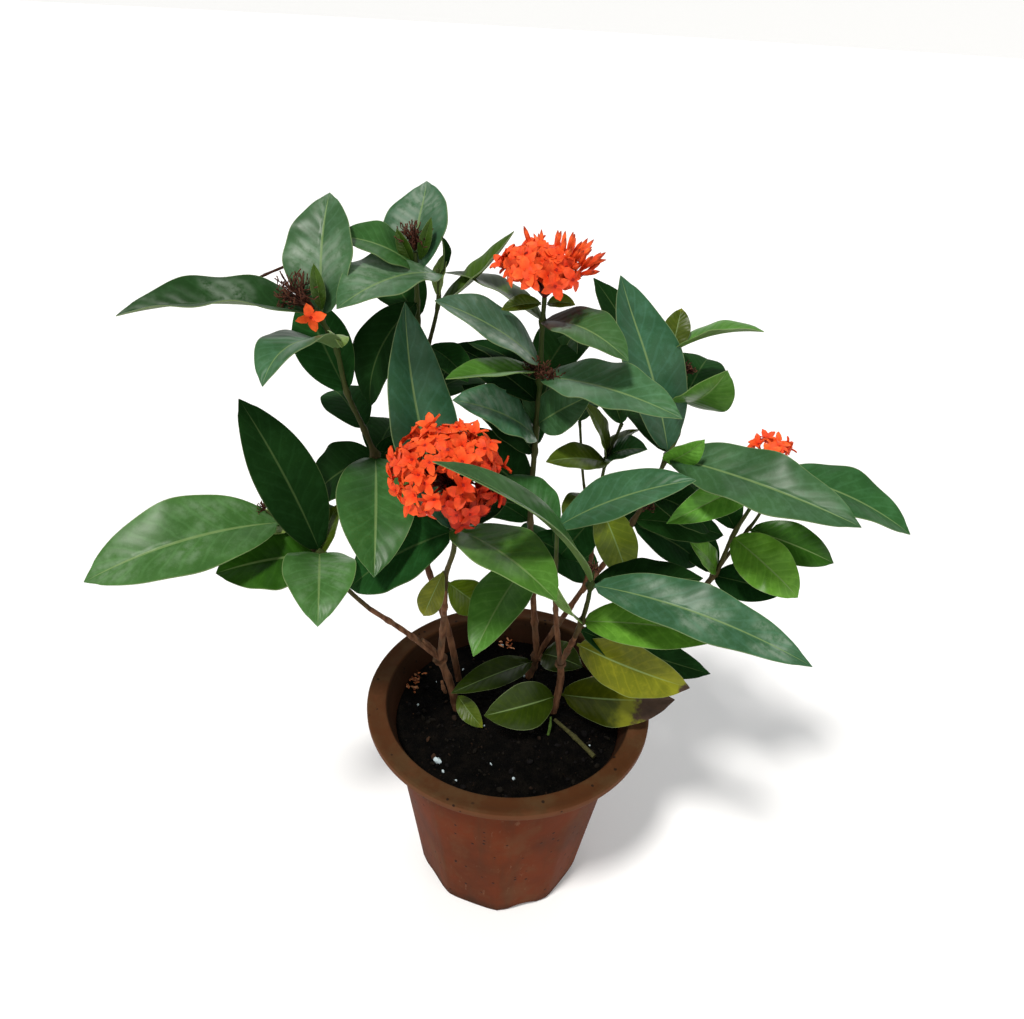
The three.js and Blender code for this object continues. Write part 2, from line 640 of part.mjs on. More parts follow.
function post(radius, fromZ, toZ, sides, x = 0, y = 0) {
  const cylinder = new THREE.CylinderGeometry(radius, radius, toZ - fromZ, sides);
  cylinder.deleteAttribute('normal');
  cylinder.deleteAttribute('uv');
  return mergeVertices(cylinder.rotateX(Math.PI / 2).translate(x, y, (fromZ + toZ) / 2));
}

// Under the pot, a foot ring and a middle pad stand on the ground.
function potUnderside() {
  const { hollow, padRadius, ringRadius, archWide, archHigh, holeRadius, holeCircle } = FOOT;
  const recess = cut(post(ringRadius, -1, hollow, 32), [post(padRadius, -2, hollow + 1, 16)]);
  const holes = Array.from({ length: FOOT.holes }, (_, i) => {
    const angle = (TWO_PI * i) / FOOT.holes;
    return post(holeRadius, -1, POT.floor + 1, 8, holeCircle * Math.cos(angle), holeCircle * Math.sin(angle));
  });
  const archRadius = (archWide ** 2 / 4 + archHigh ** 2) / (2 * archHigh);
  const arches = [0, 1, 2, 3, 4].map((i) => {
    const arch = new THREE.CylinderGeometry(archRadius, archRadius, 24, 48);
    arch.deleteAttribute('normal');
    arch.deleteAttribute('uv');
    arch.rotateY(Math.PI / 48).translate(0, 64, archHigh - archRadius);
    return mergeVertices(arch.rotateZ(TWO_PI * (i / 5 - 1 / 4)));
  });
  return [recess, ...holes, ...arches];
}

// The soil fills the pot and domes gently, with small lumps.
function soilBody(stemHoles) {
  const clear = POT.wall + GAP;
  const levels = [POT.floor + GAP, ...LEVELS.slice(1, -1), SOIL.edge];
  const wallRings = levels.map((z) => potRing([z, bodyRadius(z) - clear]));
  const edge = wallRings[wallRings.length - 1];
  const topRings = [0.82, 0.58, 0.34, 0.1].map((share) =>
    edge.map((p) => {
      const x = p.x * share;
      const y = p.y * share;
      const lumps = 0.9 * Math.sin(x / 9 + 1) * Math.cos(y / 11) + 0.6 * Math.sin(y / 6 + x / 14);
      return new THREE.Vector3(x, y, SOIL.edge + SOIL.dome * (1 - share ** 2) + lumps * (1 - share));
    }),
  );
  return cut(loft([...wallRings, ...topRings], true), stemHoles);
}

// A plain hole that a stem stands in.
function stemHole({ route, radii }) {
  const sides = 8;
  const [first, second] = route.map(vec);
  const deeper = first.clone().addScaledVector(second.clone().sub(first).normalize(), -0.6);
  const grown = radii.map((r) => (r + GAP) / Math.cos(Math.PI / sides));
  return branch([deeper.toArray(), ...route.slice(1)], grown, sides);
}

// ---- assembly ----------------------------------------------------------------------------------

const plant = new THREE.Group();

function addPiece(name, geometry, material) {
  const piece = new THREE.Mesh(geometry, material);
  piece.name = name;
  plant.add(piece);
}

addPiece('pot', cut(potShell(), potUnderside()), FINISH.plastic());
addPiece('soil', soilBody(Object.values(STEMS).map((forks) => stemHole(forks[0]))), FINISH.soil());

Object.entries(STEMS).forEach(([name, forks]) => {
  addPiece(name, fuse(forks.map(({ route, radii }) => branch(route, radii, WOODY_SIDES))), FINISH.bark());
});

Object.entries(SHOOTS).forEach(([name, { stems, leaves }]) => {
  const axes = stems.map(({ route, radii }, i) => branch(i ? route : clearStart(route), radii, GREEN_SIDES));
  addPiece(name, fuse([...axes, ...leaves.map(blade)]), FINISH.leaf());
});

Object.entries(OLD_LEAVES).forEach(([name, seat]) => {
  addPiece(name, oldLeaf(seat), FINISH.oldLeaf());
});

Object.entries(HEADS).forEach(([name, head]) => {
  addPiece(name, flowerHead(head), FINISH.petal());
});

addPiece('flower_single', floret(vec(SINGLE_FLORET.from), vec(SINGLE_FLORET.to), 0.4, 0.85), FINISH.petal());

Object.entries(DRIED_HEADS).forEach(([name, head]) => {
  addPiece(name, driedHead(head), FINISH.dried());
});

export default plant;
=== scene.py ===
"""A potted ixora: the looks of its pot, soil, bark, leaves and flowers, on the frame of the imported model.

Lengths in the lists below are millimetres, with the origin under the middle of the pot, +Z up and
-Y to the front. `MM` turns them into Blender's metres.
"""

import math
import random

import bpy
import numpy as np
from mathutils import Matrix, Vector, noise


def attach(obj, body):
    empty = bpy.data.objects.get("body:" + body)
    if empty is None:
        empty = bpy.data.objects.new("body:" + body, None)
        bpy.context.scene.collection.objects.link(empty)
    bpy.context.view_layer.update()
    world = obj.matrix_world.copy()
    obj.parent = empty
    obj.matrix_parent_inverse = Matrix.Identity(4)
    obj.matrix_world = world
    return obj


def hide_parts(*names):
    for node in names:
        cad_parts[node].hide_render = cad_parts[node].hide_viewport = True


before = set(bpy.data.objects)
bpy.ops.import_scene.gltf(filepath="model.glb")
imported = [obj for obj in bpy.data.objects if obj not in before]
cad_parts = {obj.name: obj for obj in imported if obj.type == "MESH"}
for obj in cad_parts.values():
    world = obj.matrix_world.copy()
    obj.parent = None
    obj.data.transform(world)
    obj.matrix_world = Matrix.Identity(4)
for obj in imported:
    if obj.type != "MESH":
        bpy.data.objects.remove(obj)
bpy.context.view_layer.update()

MM = 0.001
TAU = 2 * math.pi
GAP = 0.3  # between a piece and what it grows from or stands in

# ---- dimensions shared with the solids ----------------------------------------------------------

POT_HEIGHT = 180
RIM_RADIUS = 110
OPENING_RADIUS = 95
LIP = 7  # height of the flange's rolled edge
BODY_RADIUS = 91.5  # under the flange
FOOT_RADIUS = 70.5
WALL = 2.4
FLOOR = 8
PANELS = 10  # flat sides of the foot
FLATNESS = 0.85  # 1 for a true ten-sided foot, 0 for a round one
SHOULDER = 163  # where the body meets the flange
FOOT_LEVEL = 4.5  # the body's straight taper starts here
SOIL_EDGE = 158  # level of the soil at the wall
SOIL_DOME = 5


def fork(route, thick, thin):
    """One stretch of stem: the points it passes and its radii at the two ends."""
    return route, (thick, thin)


STEMS = {
    "stem_left": [
        fork([(-36, 0, 134), (-40, 0, 158), (-46, 0, 188), (-54, -2, 217)], 3.9, 3.4),
        fork([(-54, -2, 215), (-51, -8, 255), (-49, -18, 296)], 3.2, 2.4),
        fork([(-54, -2, 217), (-79, -8, 247), (-103, -14, 272)], 2.7, 2.1),
        fork([(-54, -2, 216), (-60, -3, 228), (-67, -5, 238)], 1.9, 1.4),
    ],
    "stem_back_left": [
        fork([(-38, 36, 134), (-41, 33, 158), (-50, 28, 217), (-67, 18, 294)], 3.4, 2.9),
        fork([(-67, 18, 292), (-77, 13, 325), (-87, 8, 355)], 2.5, 2.2),
        fork([(-67, 18, 292), (-71, 23, 330), (-71, 26, 365)], 2.3, 2.1),
    ],
    "stem_middle": [
        fork([(12, 43, 134), (16, 41, 158), (22, 38, 189)], 4.2, 3.7),
        fork([(22, 38, 187), (15, 34, 249), (12, 31, 280)], 3.2, 2.6),
        fork([(22, 38, 188), (37, 32, 230), (51, 26, 268)], 2.9, 2.4),
        fork([(51, 26, 266), (66, 20, 302), (76, 14, 332)], 2.3, 2),
        fork([(51, 26, 267), (54, 24, 290), (54, 22, 312)], 1.9, 1.6),
    ],
    "stem_front_right": [
        fork([(34, 4, 134), (36, 2, 158), (39, -2, 201), (37, -6, 223)], 3.9, 3.1),
        fork([(37, -6, 221), (41, -12, 241), (44, -20, 261)], 2.6, 2.2),
        fork([(37, -6, 222), (31, -8, 261), (27, -14, 295)], 2.4, 2),
    ],
    "stem_far_right": [
        fork([(74, 20, 134), (80, 19, 158), (103, 20, 221), (126, 17, 264)], 3.2, 2.3),
    ],
}

# ---- leaf looks ---------------------------------------------------------------------------------
# Colour of the upper side, and how far it has browned: from the tip where it is more than 0, and from
# the stem where it is less.

LEAF_TONES = {
    # painted shade: the two darkest tones stand for leaves in shade
    "dark": ((0.006, 0.028, 0.005), 0.0),
    "deep": ((0.010, 0.047, 0.008), 0.0),
    "green": ((0.028, 0.098, 0.022), 0.0),
    "grey": ((0.041, 0.114, 0.042), 0.0),
    "teal": ((0.024, 0.084, 0.036), 0.0),
    # painted sheen: a pale tone that stands for reflected light, and it carries the most painted sheen
    # streaks
    "sheen_pale": ((0.066, 0.132, 0.066), 0.0),
    "moss": ((0.034, 0.078, 0.007), 0.0),
    "light": ((0.052, 0.142, 0.030), 0.0),
    "fresh": ((0.062, 0.178, 0.024), 0.0),
    "verdant": ((0.020, 0.078, 0.005), 0.0),
    "lime": ((0.080, 0.125, 0.005), 0.0),
    "glossy": ((0.014, 0.056, 0.012), 0.0),
    # painted sheen: the grey tone with painted sheen streaks
    "sheen_grey": ((0.041, 0.114, 0.046), 0.0),
    "sallow": ((0.018, 0.037, 0.001), 0.0),
    "bright": ((0.080, 0.225, 0.020), 0.0),
    "olive": ((0.044, 0.074, 0.005), 0.15),
    "young": ((0.160, 0.260, 0.060), 0.0),
    "yellow": ((0.098, 0.118, 0.003), 0.32),
    "scorched": ((0.036, 0.105, 0.030), -0.80),
    "spotted": ((0.034, 0.046, 0.001), 0.70),
}


SHADED_TONES = ("dark", "deep")  # painted shade: dark colours for inner leaves and others in shade, which also get a matt material, a dimmer midrib and edge, and no painted sheen
SHEEN_AMOUNT = {"sheen_pale": 1.5, "glossy": 0.9, "sheen_grey": 0.8, "light": 0.45}  # how much painted sheen a tone has: pale streaks that stand for reflected light


def leaf(start, tip, wide, bow, faces, tone="green", fold=13, wave=0.05, curl=0.0, peak=0.47):
    """A leaf from its stem to its tip, with its arch, the way its upper side looks, and its look.

    `peak` is where it is widest, and `curl` how far its tip turns down, both as shares of its length.
    `fold` is how far its halves rise from the midrib, in degrees, and `wave` how much its edge ripples.
    """
    return {
        "start": start, "tip": tip, "wide": wide, "bow": bow, "faces": faces, "peak": peak,
        "tone": tone, "fold": fold, "wave": wave, "curl": curl,
    }


SHOOTS = {
    "shoot_upper_left": {
        "stems": [
            fork([(-87, 8, 355), (-97, 4, 386), (-104, 2, 408), (-112, 0, 431), (-116, -6, 464),
                  (-125, -11, 487)], 2.2, 1.7),
        ],
        "leaves": [
            leaf((-122, -9, 481), (-226, -38, 486), 44, 8, (0, -1, 9), "glossy", fold=24, wave=0.10),
            leaf((-121, -9, 481), (-121, 30, 542), 44, 6, (-3, -9, 7), "sheen_grey", wave=0.05),
            leaf((-115, -4, 460), (-145, -62, 462), 40, 13, (-3, -3, 9), "grey", curl=0.05),
            leaf((-112, 0, 431), (-143, 34, 478), 36, 6, (-3, -4, 9), "deep"),
            leaf((-121, -11, 487), (-124, -9, 512), 9, 2, (2, -9, 4), "moss", fold=26),
            leaf((-118, -7, 470), (-109, -20, 468), 13, 3, (6, -1, 9), "young"),
            leaf((-97, 4, 385), (-85, -82, 352), 50, 8, (2, -5, 9), "green", wave=0.05),
            leaf((-97, 4, 386), (-145, 16, 341), 44, 6, (-1, -4, 7), "dark"),
            leaf((-98, 4, 389), (-78, 32, 368), 26, 4, (9, -3, 5), "dark"),
            leaf((-103, 2, 405), (-136, 66, 402), 32, 6, (0, -4, 9), "deep"),
            leaf((-97, 4, 384), (-92, 76, 376), 34, 7, (0, -4, 9), "deep"),
        ],
    },
    "shoot_top": {
        "stems": [
            fork([(-71, 26, 365), (-71, 28, 416), (-71, 28, 470), (-72, 26, 512)], 2.1, 1.7),
            fork([(-71, 28, 434), (-63, 28, 460), (-58, 26, 484), (-58, 26, 503)], 1.7, 1.3),
        ],
        "leaves": [
            leaf((-71, 27, 500), (-67, 62, 542), 46, 6, (-5, -8, 9), "sheen_grey", wave=0.03, curl=-0.08),
            leaf((-72, 26, 503), (-113, 8, 523), 34, 5, (1, -4, 9), "green"),
            leaf((-58, 26, 500), (-108, -30, 494), 48, 7, (0, -2, 9), "sheen_grey", wave=0.09),
            leaf((-58, 26, 500), (-56, 22, 523), 12, 2, (9, -3, 2), "dark", fold=30),
            leaf((-58, 26, 486), (-53, 31, 512), 13, 2, (-9, -7, 1), "young"),
            leaf((-71, 27, 482), (-100, 12, 417), 38, 13, (-6, -9, 8), "dark"),
            leaf((-65, 28, 453), (-38, 10, 438), 26, 4, (6, -7, 9), "deep"),
            leaf((-58, 26, 480), (-14, 40, 524), 28, -4, (-7, -1, 8), "moss", fold=20),
            leaf((-71, 28, 470), (-104, 90, 478), 36, 7, (0, -4, 9), "deep"),
            leaf((-71, 28, 416), (-74, 100, 418), 36, 7, (0, -4, 9), "deep"),
            leaf((-71, 28, 415), (-30, 88, 408), 34, 7, (0, -4, 9), "deep"),
        ],
    },
    "shoot_centre": {
        "stems": [
            fork([(12, 31, 280), (8, 28, 327), (7, 20, 395), (7, 13, 444), (6, 12, 470), (6, 11, 494)],
                 2.6, 1.7),
        ],
        "leaves": [
            leaf((6, 12, 479), (-57, 50, 494), 28, 6, (2, 0, 9), "moss"),
            leaf((6, 12, 479), (54, -30, 473), 34, 8, (0, -3, 9), "scorched"),
            leaf((6, 12, 452), (-56, -16, 497), 38, 5, (7, -3, 9), "sheen_pale", wave=0.07),
            leaf((6, 13, 447), (-48, -36, 459), 24, 1, (1, -1, 9), "fresh", fold=24),
            leaf((7, 13, 443), (86, -46, 447), 42, 6, (-2, -2, 9), "grey", wave=0.08),
            leaf((7, 19, 404), (29, 48, 461), 38, 6, (-8, -9, 7), "green"),
            leaf((7, 13, 440), (-40, 34, 455), 26, 4, (3, -2, 9), "dark"),
            leaf((7, 19, 398), (-45, -22, 440), 38, 6, (8, -3, 9), "sheen_grey", wave=0.08),
            leaf((8, 18, 408), (39, -3, 440), 30, 4, (-2, -9, 6), "grey"),
            leaf((7, 21, 384), (-43, 30, 427), 36, 6, (7, -7, 9), "dark"),
            leaf((11, 30, 290), (-27, -46, 261), 42, 8, (-2, -3, 9), "fresh"),
            leaf((7, 14, 440), (34, 78, 454), 36, 7, (0, -4, 9), "deep"),
            leaf((7, 21, 388), (-12, 90, 388), 36, 8, (0, -4, 9), "deep"),
            leaf((11, 30, 286), (26, 98, 272), 38, 8, (0, -4, 9), "deep"),
            leaf((8, 28, 325), (-36, 74, 316), 34, 7, (-1, -4, 9), "deep"),
            leaf((9, 29, 312), (66, 50, 262), 36, 5, (-1, -6, 8), "deep"),
            leaf((8, 25, 352), (-32, 38, 366), 30, 5, (2, -6, 8), "dark"),
            leaf((8, 26, 346), (-54, 18, 400), 42, 6, (6, -8, 6), "dark"),
            leaf((7, 16, 424), (-52, 52, 446), 32, 5, (2, -5, 8), "dark"),
        ],
    },
    "shoot_right": {
        "stems": [
            fork([(76, 14, 332), (86, 6, 368), (92, 5, 394), (99, 14, 408), (101, 26, 427), (102, 33, 441)],
                 2, 1.6),
            fork([(99, 15, 409), (94, 30, 436), (91, 36, 457)], 1.5, 1.2),
        ],
        "leaves": [
            leaf((93, 6, 398), (51, 44, 498), 50, 6, (6, -9, 6), "teal", wave=0.04, curl=-0.04),
            leaf((99, 14, 408), (40, 78, 488), 42, 6, (6, -9, 9), "dark"),
            leaf((91, 36, 455), (96, 52, 479), 18, 2, (-2, -9, 5), "olive"),
            leaf((91, 36, 455), (143, 24, 476), 28, 5, (0, 1, 9), "fresh", fold=22),
            leaf((101, 25, 426), (118, -2, 460), 38, 6, (3, -6, 5), "fresh"),
            leaf((92, 5, 396), (195, -66, 394), 46, 6, (-2, -4, 9), "grey", wave=0.10),
            leaf((92, 5, 392), (109, -16, 420), 20, 3, (1, -9, 2), "bright"),
            leaf((85, 7, 366), (130, 4, 340), 36, 6, (-1, -3, 9), "dark"),
            leaf((101, 25, 425), (128, 88, 432), 36, 7, (0, -4, 9), "deep"),
            leaf((93, 6, 397), (80, 84, 396), 36, 8, (0, -4, 9), "deep"),
            leaf((77, 13, 335), (104, 84, 326), 36, 8, (0, -4, 9), "deep"),
            leaf((78, 12, 338), (136, 36, 292), 36, 6, (0, -6, 8), "dark"),
            leaf((78, 12, 342), (146, 22, 326), 30, 5, (-1, -5, 8), "deep"),
        ],
    },
    "shoot_slender": {
        "stems": [
            fork([(54, 22, 312), (54, 20, 350), (55, 16, 384), (62, 15, 413)], 1.6, 1.2),
            fork([(54, 21, 325), (44, 24, 356), (36, 30, 406)], 1.3, 1.1),
        ],
        "leaves": [
            leaf((55, 16, 385), (35, 6, 430), 20, 4, (9, -3, 3), "olive"),
            leaf((55, 16, 385), (78, 34, 400), 18, 4, (-3, 2, 9), "olive"),
            leaf((55, 16, 383), (14, -2, 391), 24, 4, (2, -3, 9), "olive"),
            leaf((55, 16, 386), (77, -6, 406), 22, 4, (2, -6, 9), "green"),
            leaf((54, 20, 350), (80, 4, 296), 30, 5, (0, -7, 6), "lime"),
            leaf((54, 21, 340), (32, 34, 292), 32, 5, (-1, -8, 5), "deep"),
            leaf((54, 20, 352), (32, -2, 342), 30, 5, (-3, -2, 9), "olive"),
            leaf((62, 15, 412), (50, 48, 426), 22, 4, (-1, -1, 9), "green"),
            leaf((36, 30, 405), (52, 76, 416), 24, 5, (0, 1, 9), "green"),
        ],
    },
    "shoot_low_front": {
        "stems": [fork([(27, -14, 295), (26, -18, 313), (23, -29, 361)], 2, 1.5)],
        "leaves": [
            leaf((23, -28, 358), (101, -44, 407), 37, 7, (-5, -3, 9), "grey"),
            leaf((23, -28, 357), (-14, 4, 374), 30, 6, (1, -1, 9), "green", fold=22),
        ],
    },
    "shoot_front_right": {
        "stems": [fork([(44, -20, 261), (46, -28, 281), (48, -33, 305), (48, -37, 331)], 2.2, 1.8)],
        "leaves": [
            leaf((48, -35, 319), (180, -92, 309), 39, 14, (-1, -4, 9), "sheen_grey", wave=0.09),
            leaf((46, -28, 282), (141, -50, 294), 36, 7, (-1, -5, 8), "bright", wave=0.07),
            leaf((48, -35, 320), (-46, -125, 455), 30, 12, (9, 2, 9), "green", fold=20, wave=0.03),
            leaf((46, -28, 283), (23, -54, 334), 22, 3, (-9, -9, 2), "young"),
            leaf((45, -24, 271), (152, -3, 216), 34, -5, (0, -5, 7), "dark"),
            leaf((48, -35, 318), (124, -24, 321), 36, 1, (1, -1, 9), "dark"),
        ],
    },
    "shoot_front": {
        "stems": [
            fork([(-49, -18, 296), (-48, -24, 313), (-42, -38, 343), (-41, -47, 364), (-42, -55, 388),
                  (-43, -60, 402)], 2.4, 1.8),
        ],
        "leaves": [
            leaf((-41, -47, 365), (20, -112, 365), 50, 6, (1, 0, 9), "fresh", wave=0.04),
            leaf((-41, -47, 364), (-107, -50, 318), 50, 8, (-2, -5, 9), "deep", wave=0.04),
            leaf((-41, -46, 361), (-75, 0, 490), 50, -12, (9, -9, 5), "teal", wave=0.03),
            leaf((-41, -46, 359), (-14, 12, 353), 34, 6, (0, 1, 9), "dark"),
        ],
    },
    "shoot_left": {
        "stems": [
            fork([(-103, -14, 272), (-116, -18, 291), (-133, -24, 328)], 2.1, 1.7),
            fork([(-130, -23, 320), (-146, -22, 336), (-165, -20, 354)], 1.3, 1),
        ],
        "leaves": [
            leaf((-132, -23, 326), (-180, 0, 423), 43, 9, (7, -9, 6), "dark", wave=0.04),
            leaf((-156, -21, 346), (-260, -78, 334), 57, 13, (0, -5, 9), "light", wave=0.04),
            leaf((-132, -23, 323), (-192, -50, 324), 52, 5, (1, -4, 9), "verdant"),
            leaf((-132, -24, 325), (-118, -92, 322), 46, 10, (1, 0, 9), "light", wave=0.08, curl=0.05),
            leaf((-150, -22, 340), (-184, -2, 334), 26, 3, (-1, -2, 9), "young"),
            leaf((-131, -23, 323), (-123, 0, 349), 18, 3, (-5, -9, 5), "olive"),
            leaf((-131, -23, 323), (-150, 38, 322), 34, 7, (0, -4, 9), "deep"),
        ],
    },
    "shoot_far_right": {
        "stems": [
            fork([(126, 17, 264), (143, 14, 296), (149, 10, 335), (159, 8, 373), (160, 8, 398)], 2.3, 1.4),
            fork([(142, 14, 294), (154, 16, 322), (166, 16, 351), (168, 14, 384)], 1.6, 1.2),
        ],
        "leaves": [
            leaf((168, 14, 382), (246, -30, 368), 44, 8, (0, -2, 9), "green", wave=0.08),
            leaf((149, 10, 333), (189, -30, 313), 36, 7, (-3, -5, 6), "bright", wave=0.07, curl=0.06),
            leaf((161, 16, 336), (217, -4, 325), 30, 5, (-2, -4, 5), "verdant"),
            leaf((143, 14, 296), (187, -8, 300), 28, 4, (-2, -5, 5), "dark"),
            leaf((140, 15, 290), (148, 16, 244), 22, 4, (-2, -8, 4), "lime"),
            leaf((144, 13, 300), (119, 6, 329), 20, 3, (9, -6, 5), "bright"),
            leaf((159, 8, 384), (93, -24, 363), 26, 6, (3, -5, 6), "bright", fold=20),
            leaf((168, 15, 376), (167, 76, 359), 34, 7, (0, -4, 9), "deep"),
            leaf((150, 10, 338), (128, 66, 346), 34, 7, (0, -4, 9), "deep"),
            leaf((143, 14, 297), (120, 74, 296), 34, 7, (0, -4, 9), "deep"),
        ],
    },
}

OLD_LEAVES = {
    "old_leaf_yellow": leaf((43, -17, 253), (124, -48, 244), 41, 4, (-1, -8, 2), "yellow"),
    "old_leaf_spotted": leaf((38, 0, 184), (121, -30, 214), 42, 4, (-2, -9, 3), "spotted"),
    "old_leaf_low_front": leaf((38, -1, 183), (-18, -36, 194), 36, 4, (4, -6, 6), "sallow"),
    "old_leaf_low_small": leaf((21, 39, 182), (-44, -18, 197), 24, 4, (3, -3, 9), "sallow"),
    "old_leaf_low_middle": leaf((24, 37, 192), (56, 8, 206), 28, 4, (-3, -4, 9), "sallow"),
    "old_leaf_brown": leaf((-42, 2, 178), (-19, -21, 165), 16, 3, (-3, -6, 7), "olive"),
    "old_leaf_left": leaf((-48, -25, 320), (-63, -26, 278), 18, 3, (-2, -9, 2), "yellow", peak=0.55),
    "old_leaf_inner": leaf((-48, -22, 306), (-25, 26, 246), 28, 2, (5, -9, 3), "lime"),
}
OLD_LEAF_TRIM = 3.5  # an old leaf starts this far from the middle of its stem


# ---- curves and copies --------------------------------------------------------------------------


def unit(vector):
    return vector / np.linalg.norm(vector)


def scatter(rng, most):
    """A random step of up to `most` each way along each axis."""
    return np.array([rng.uniform(-most, most) for _ in range(3)])


def smooth_route(points, spacing=3.0):
    """Points about `spacing` apart on a centripetal Catmull-Rom curve through the given ones."""
    knots = [np.array(p, float) for p in points]
    knots = [2 * knots[0] - knots[1], *knots, 2 * knots[-1] - knots[-2]]
    route = []
    for before, start, end, after in zip(knots, knots[1:], knots[2:], knots[3:]):
        spans = ((before, start), (start, end), (end, after))
        first, here, last = (np.linalg.norm(b - a) ** 0.5 for a, b in spans)
        leave = (start - before) / first - (end - before) / (first + here) + (end - start) / here
        arrive = (end - start) / here - (after - start) / (here + last) + (after - end) / last
        leave, arrive = leave * here, arrive * here
        count = max(2, round(np.linalg.norm(end - start) / spacing))
        for t in np.arange(count) / count:
            route.append(
                (2 * t**3 - 3 * t**2 + 1) * start + (t**3 - 2 * t**2 + t) * leave
                + (3 * t**2 - 2 * t**3) * end + (t**3 - t**2) * arrive
            )
    return np.array([*route, knots[-2]])


def deselect():
    bpy.ops.object.select_all(action="DESELECT")


def choose(*objects):
    deselect()
    for thing in objects:
        thing.select_set(True)
    bpy.context.view_layer.objects.active = objects[0]


def copy_of(pattern, name):
    """A copy of an object with a mesh of its own."""
    made = pattern.copy()
    made.data = pattern.data.copy()
    made.name = made.data.name = name
    bpy.context.collection.objects.link(made)
    return made


def joined(objects, name):
    choose(*objects)
    if len(objects) > 1:
        bpy.ops.object.join()
    whole = bpy.context.view_layer.objects.active
    whole.name = whole.data.name = name
    return whole


def set_points(thing, points):
    thing.data.vertices.foreach_set("co", np.asarray(points, np.float32).ravel())
    thing.data.update()


def get_points(thing):
    points = np.empty(3 * len(thing.data.vertices), np.float32)
    thing.data.vertices.foreach_get("co", points)
    return points.reshape(-1, 3)


def set_tint(thing, colours):
    """Stores a colour and a fourth number for each vertex, which the materials read."""
    layers = thing.data.attributes
    layer = layers.get("tint") or layers.new("tint", "FLOAT_COLOR", "POINT")
    layer.data.foreach_set("color", np.asarray(colours, np.float32).ravel())


def even_tint(thing, colour, extra=0.0):
    set_tint(thing, np.tile([*colour, extra], (len(thing.data.vertices), 1)))


def add_modifier(thing, kind, **settings):
    """Adds a modifier with its settings and applies it."""
    choose(thing)
    modifier = thing.modifiers.new(kind.lower(), kind)
    for key, value in settings.items():
        setattr(modifier, key, value)
    bpy.ops.object.modifier_apply(modifier=modifier.name)


def clean_normals(thing):
    choose(thing)
    bpy.ops.object.mode_set(mode="EDIT")
    bpy.ops.mesh.select_all(action="SELECT")
    bpy.ops.mesh.remove_doubles(threshold=0.00001)
    bpy.ops.mesh.normals_make_consistent(inside=False)
    bpy.ops.object.mode_set(mode="OBJECT")


def finish_piece(thing, slot, *nodes, materials=(), angle=40):
    """Shades a finished piece, gives it its materials and ties it to the frame."""
    choose(thing)
    bpy.ops.object.shade_smooth_by_angle(angle=math.radians(angle))
    if materials:
        thing.data.materials.clear()
        for paint in materials:
            thing.data.materials.append(paint.material)
    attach(thing, "root")
    if nodes:
        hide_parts(*nodes)
    return thing


# ---- materials ----------------------------------------------------------------------------------


class Value:
    """An output of a material's node that takes part in arithmetic."""

    def __init__(self, paint, socket):
        self.paint = paint
        self.socket = socket

    def math(self, operation, *terms):
        return self.paint.node("ShaderNodeMath", {"operation": operation}, dict(enumerate(terms)))

    def __add__(self, other):
        return self.math("ADD", self, other)

    def __mul__(self, other):
        return self.math("MULTIPLY", self, other)

    def __sub__(self, other):
        return self.math("SUBTRACT", self, other)

    def __rsub__(self, other):
        return self.math("SUBTRACT", other, self)

    def __truediv__(self, other):
        return self.math("DIVIDE", self, other)

    def __pow__(self, other):
        return self.math("POWER", self, other)

    def __abs__(self):
        return self.math("ABSOLUTE", self)

    __radd__ = __add__
    __rmul__ = __mul__

    def channel(self, name):
        return self.paint.node("ShaderNodeSeparateColor", None, {"Color": self}, output=name)

    def between(self, low, high):
        """Goes smoothly from 0 at `low` to 1 at `high`, either way round."""
        return self.paint.node(
            "ShaderNodeMapRange",
            {"interpolation_type": "SMOOTHSTEP"},
            {"Value": self, "From Min": low, "From Max": high},
        )


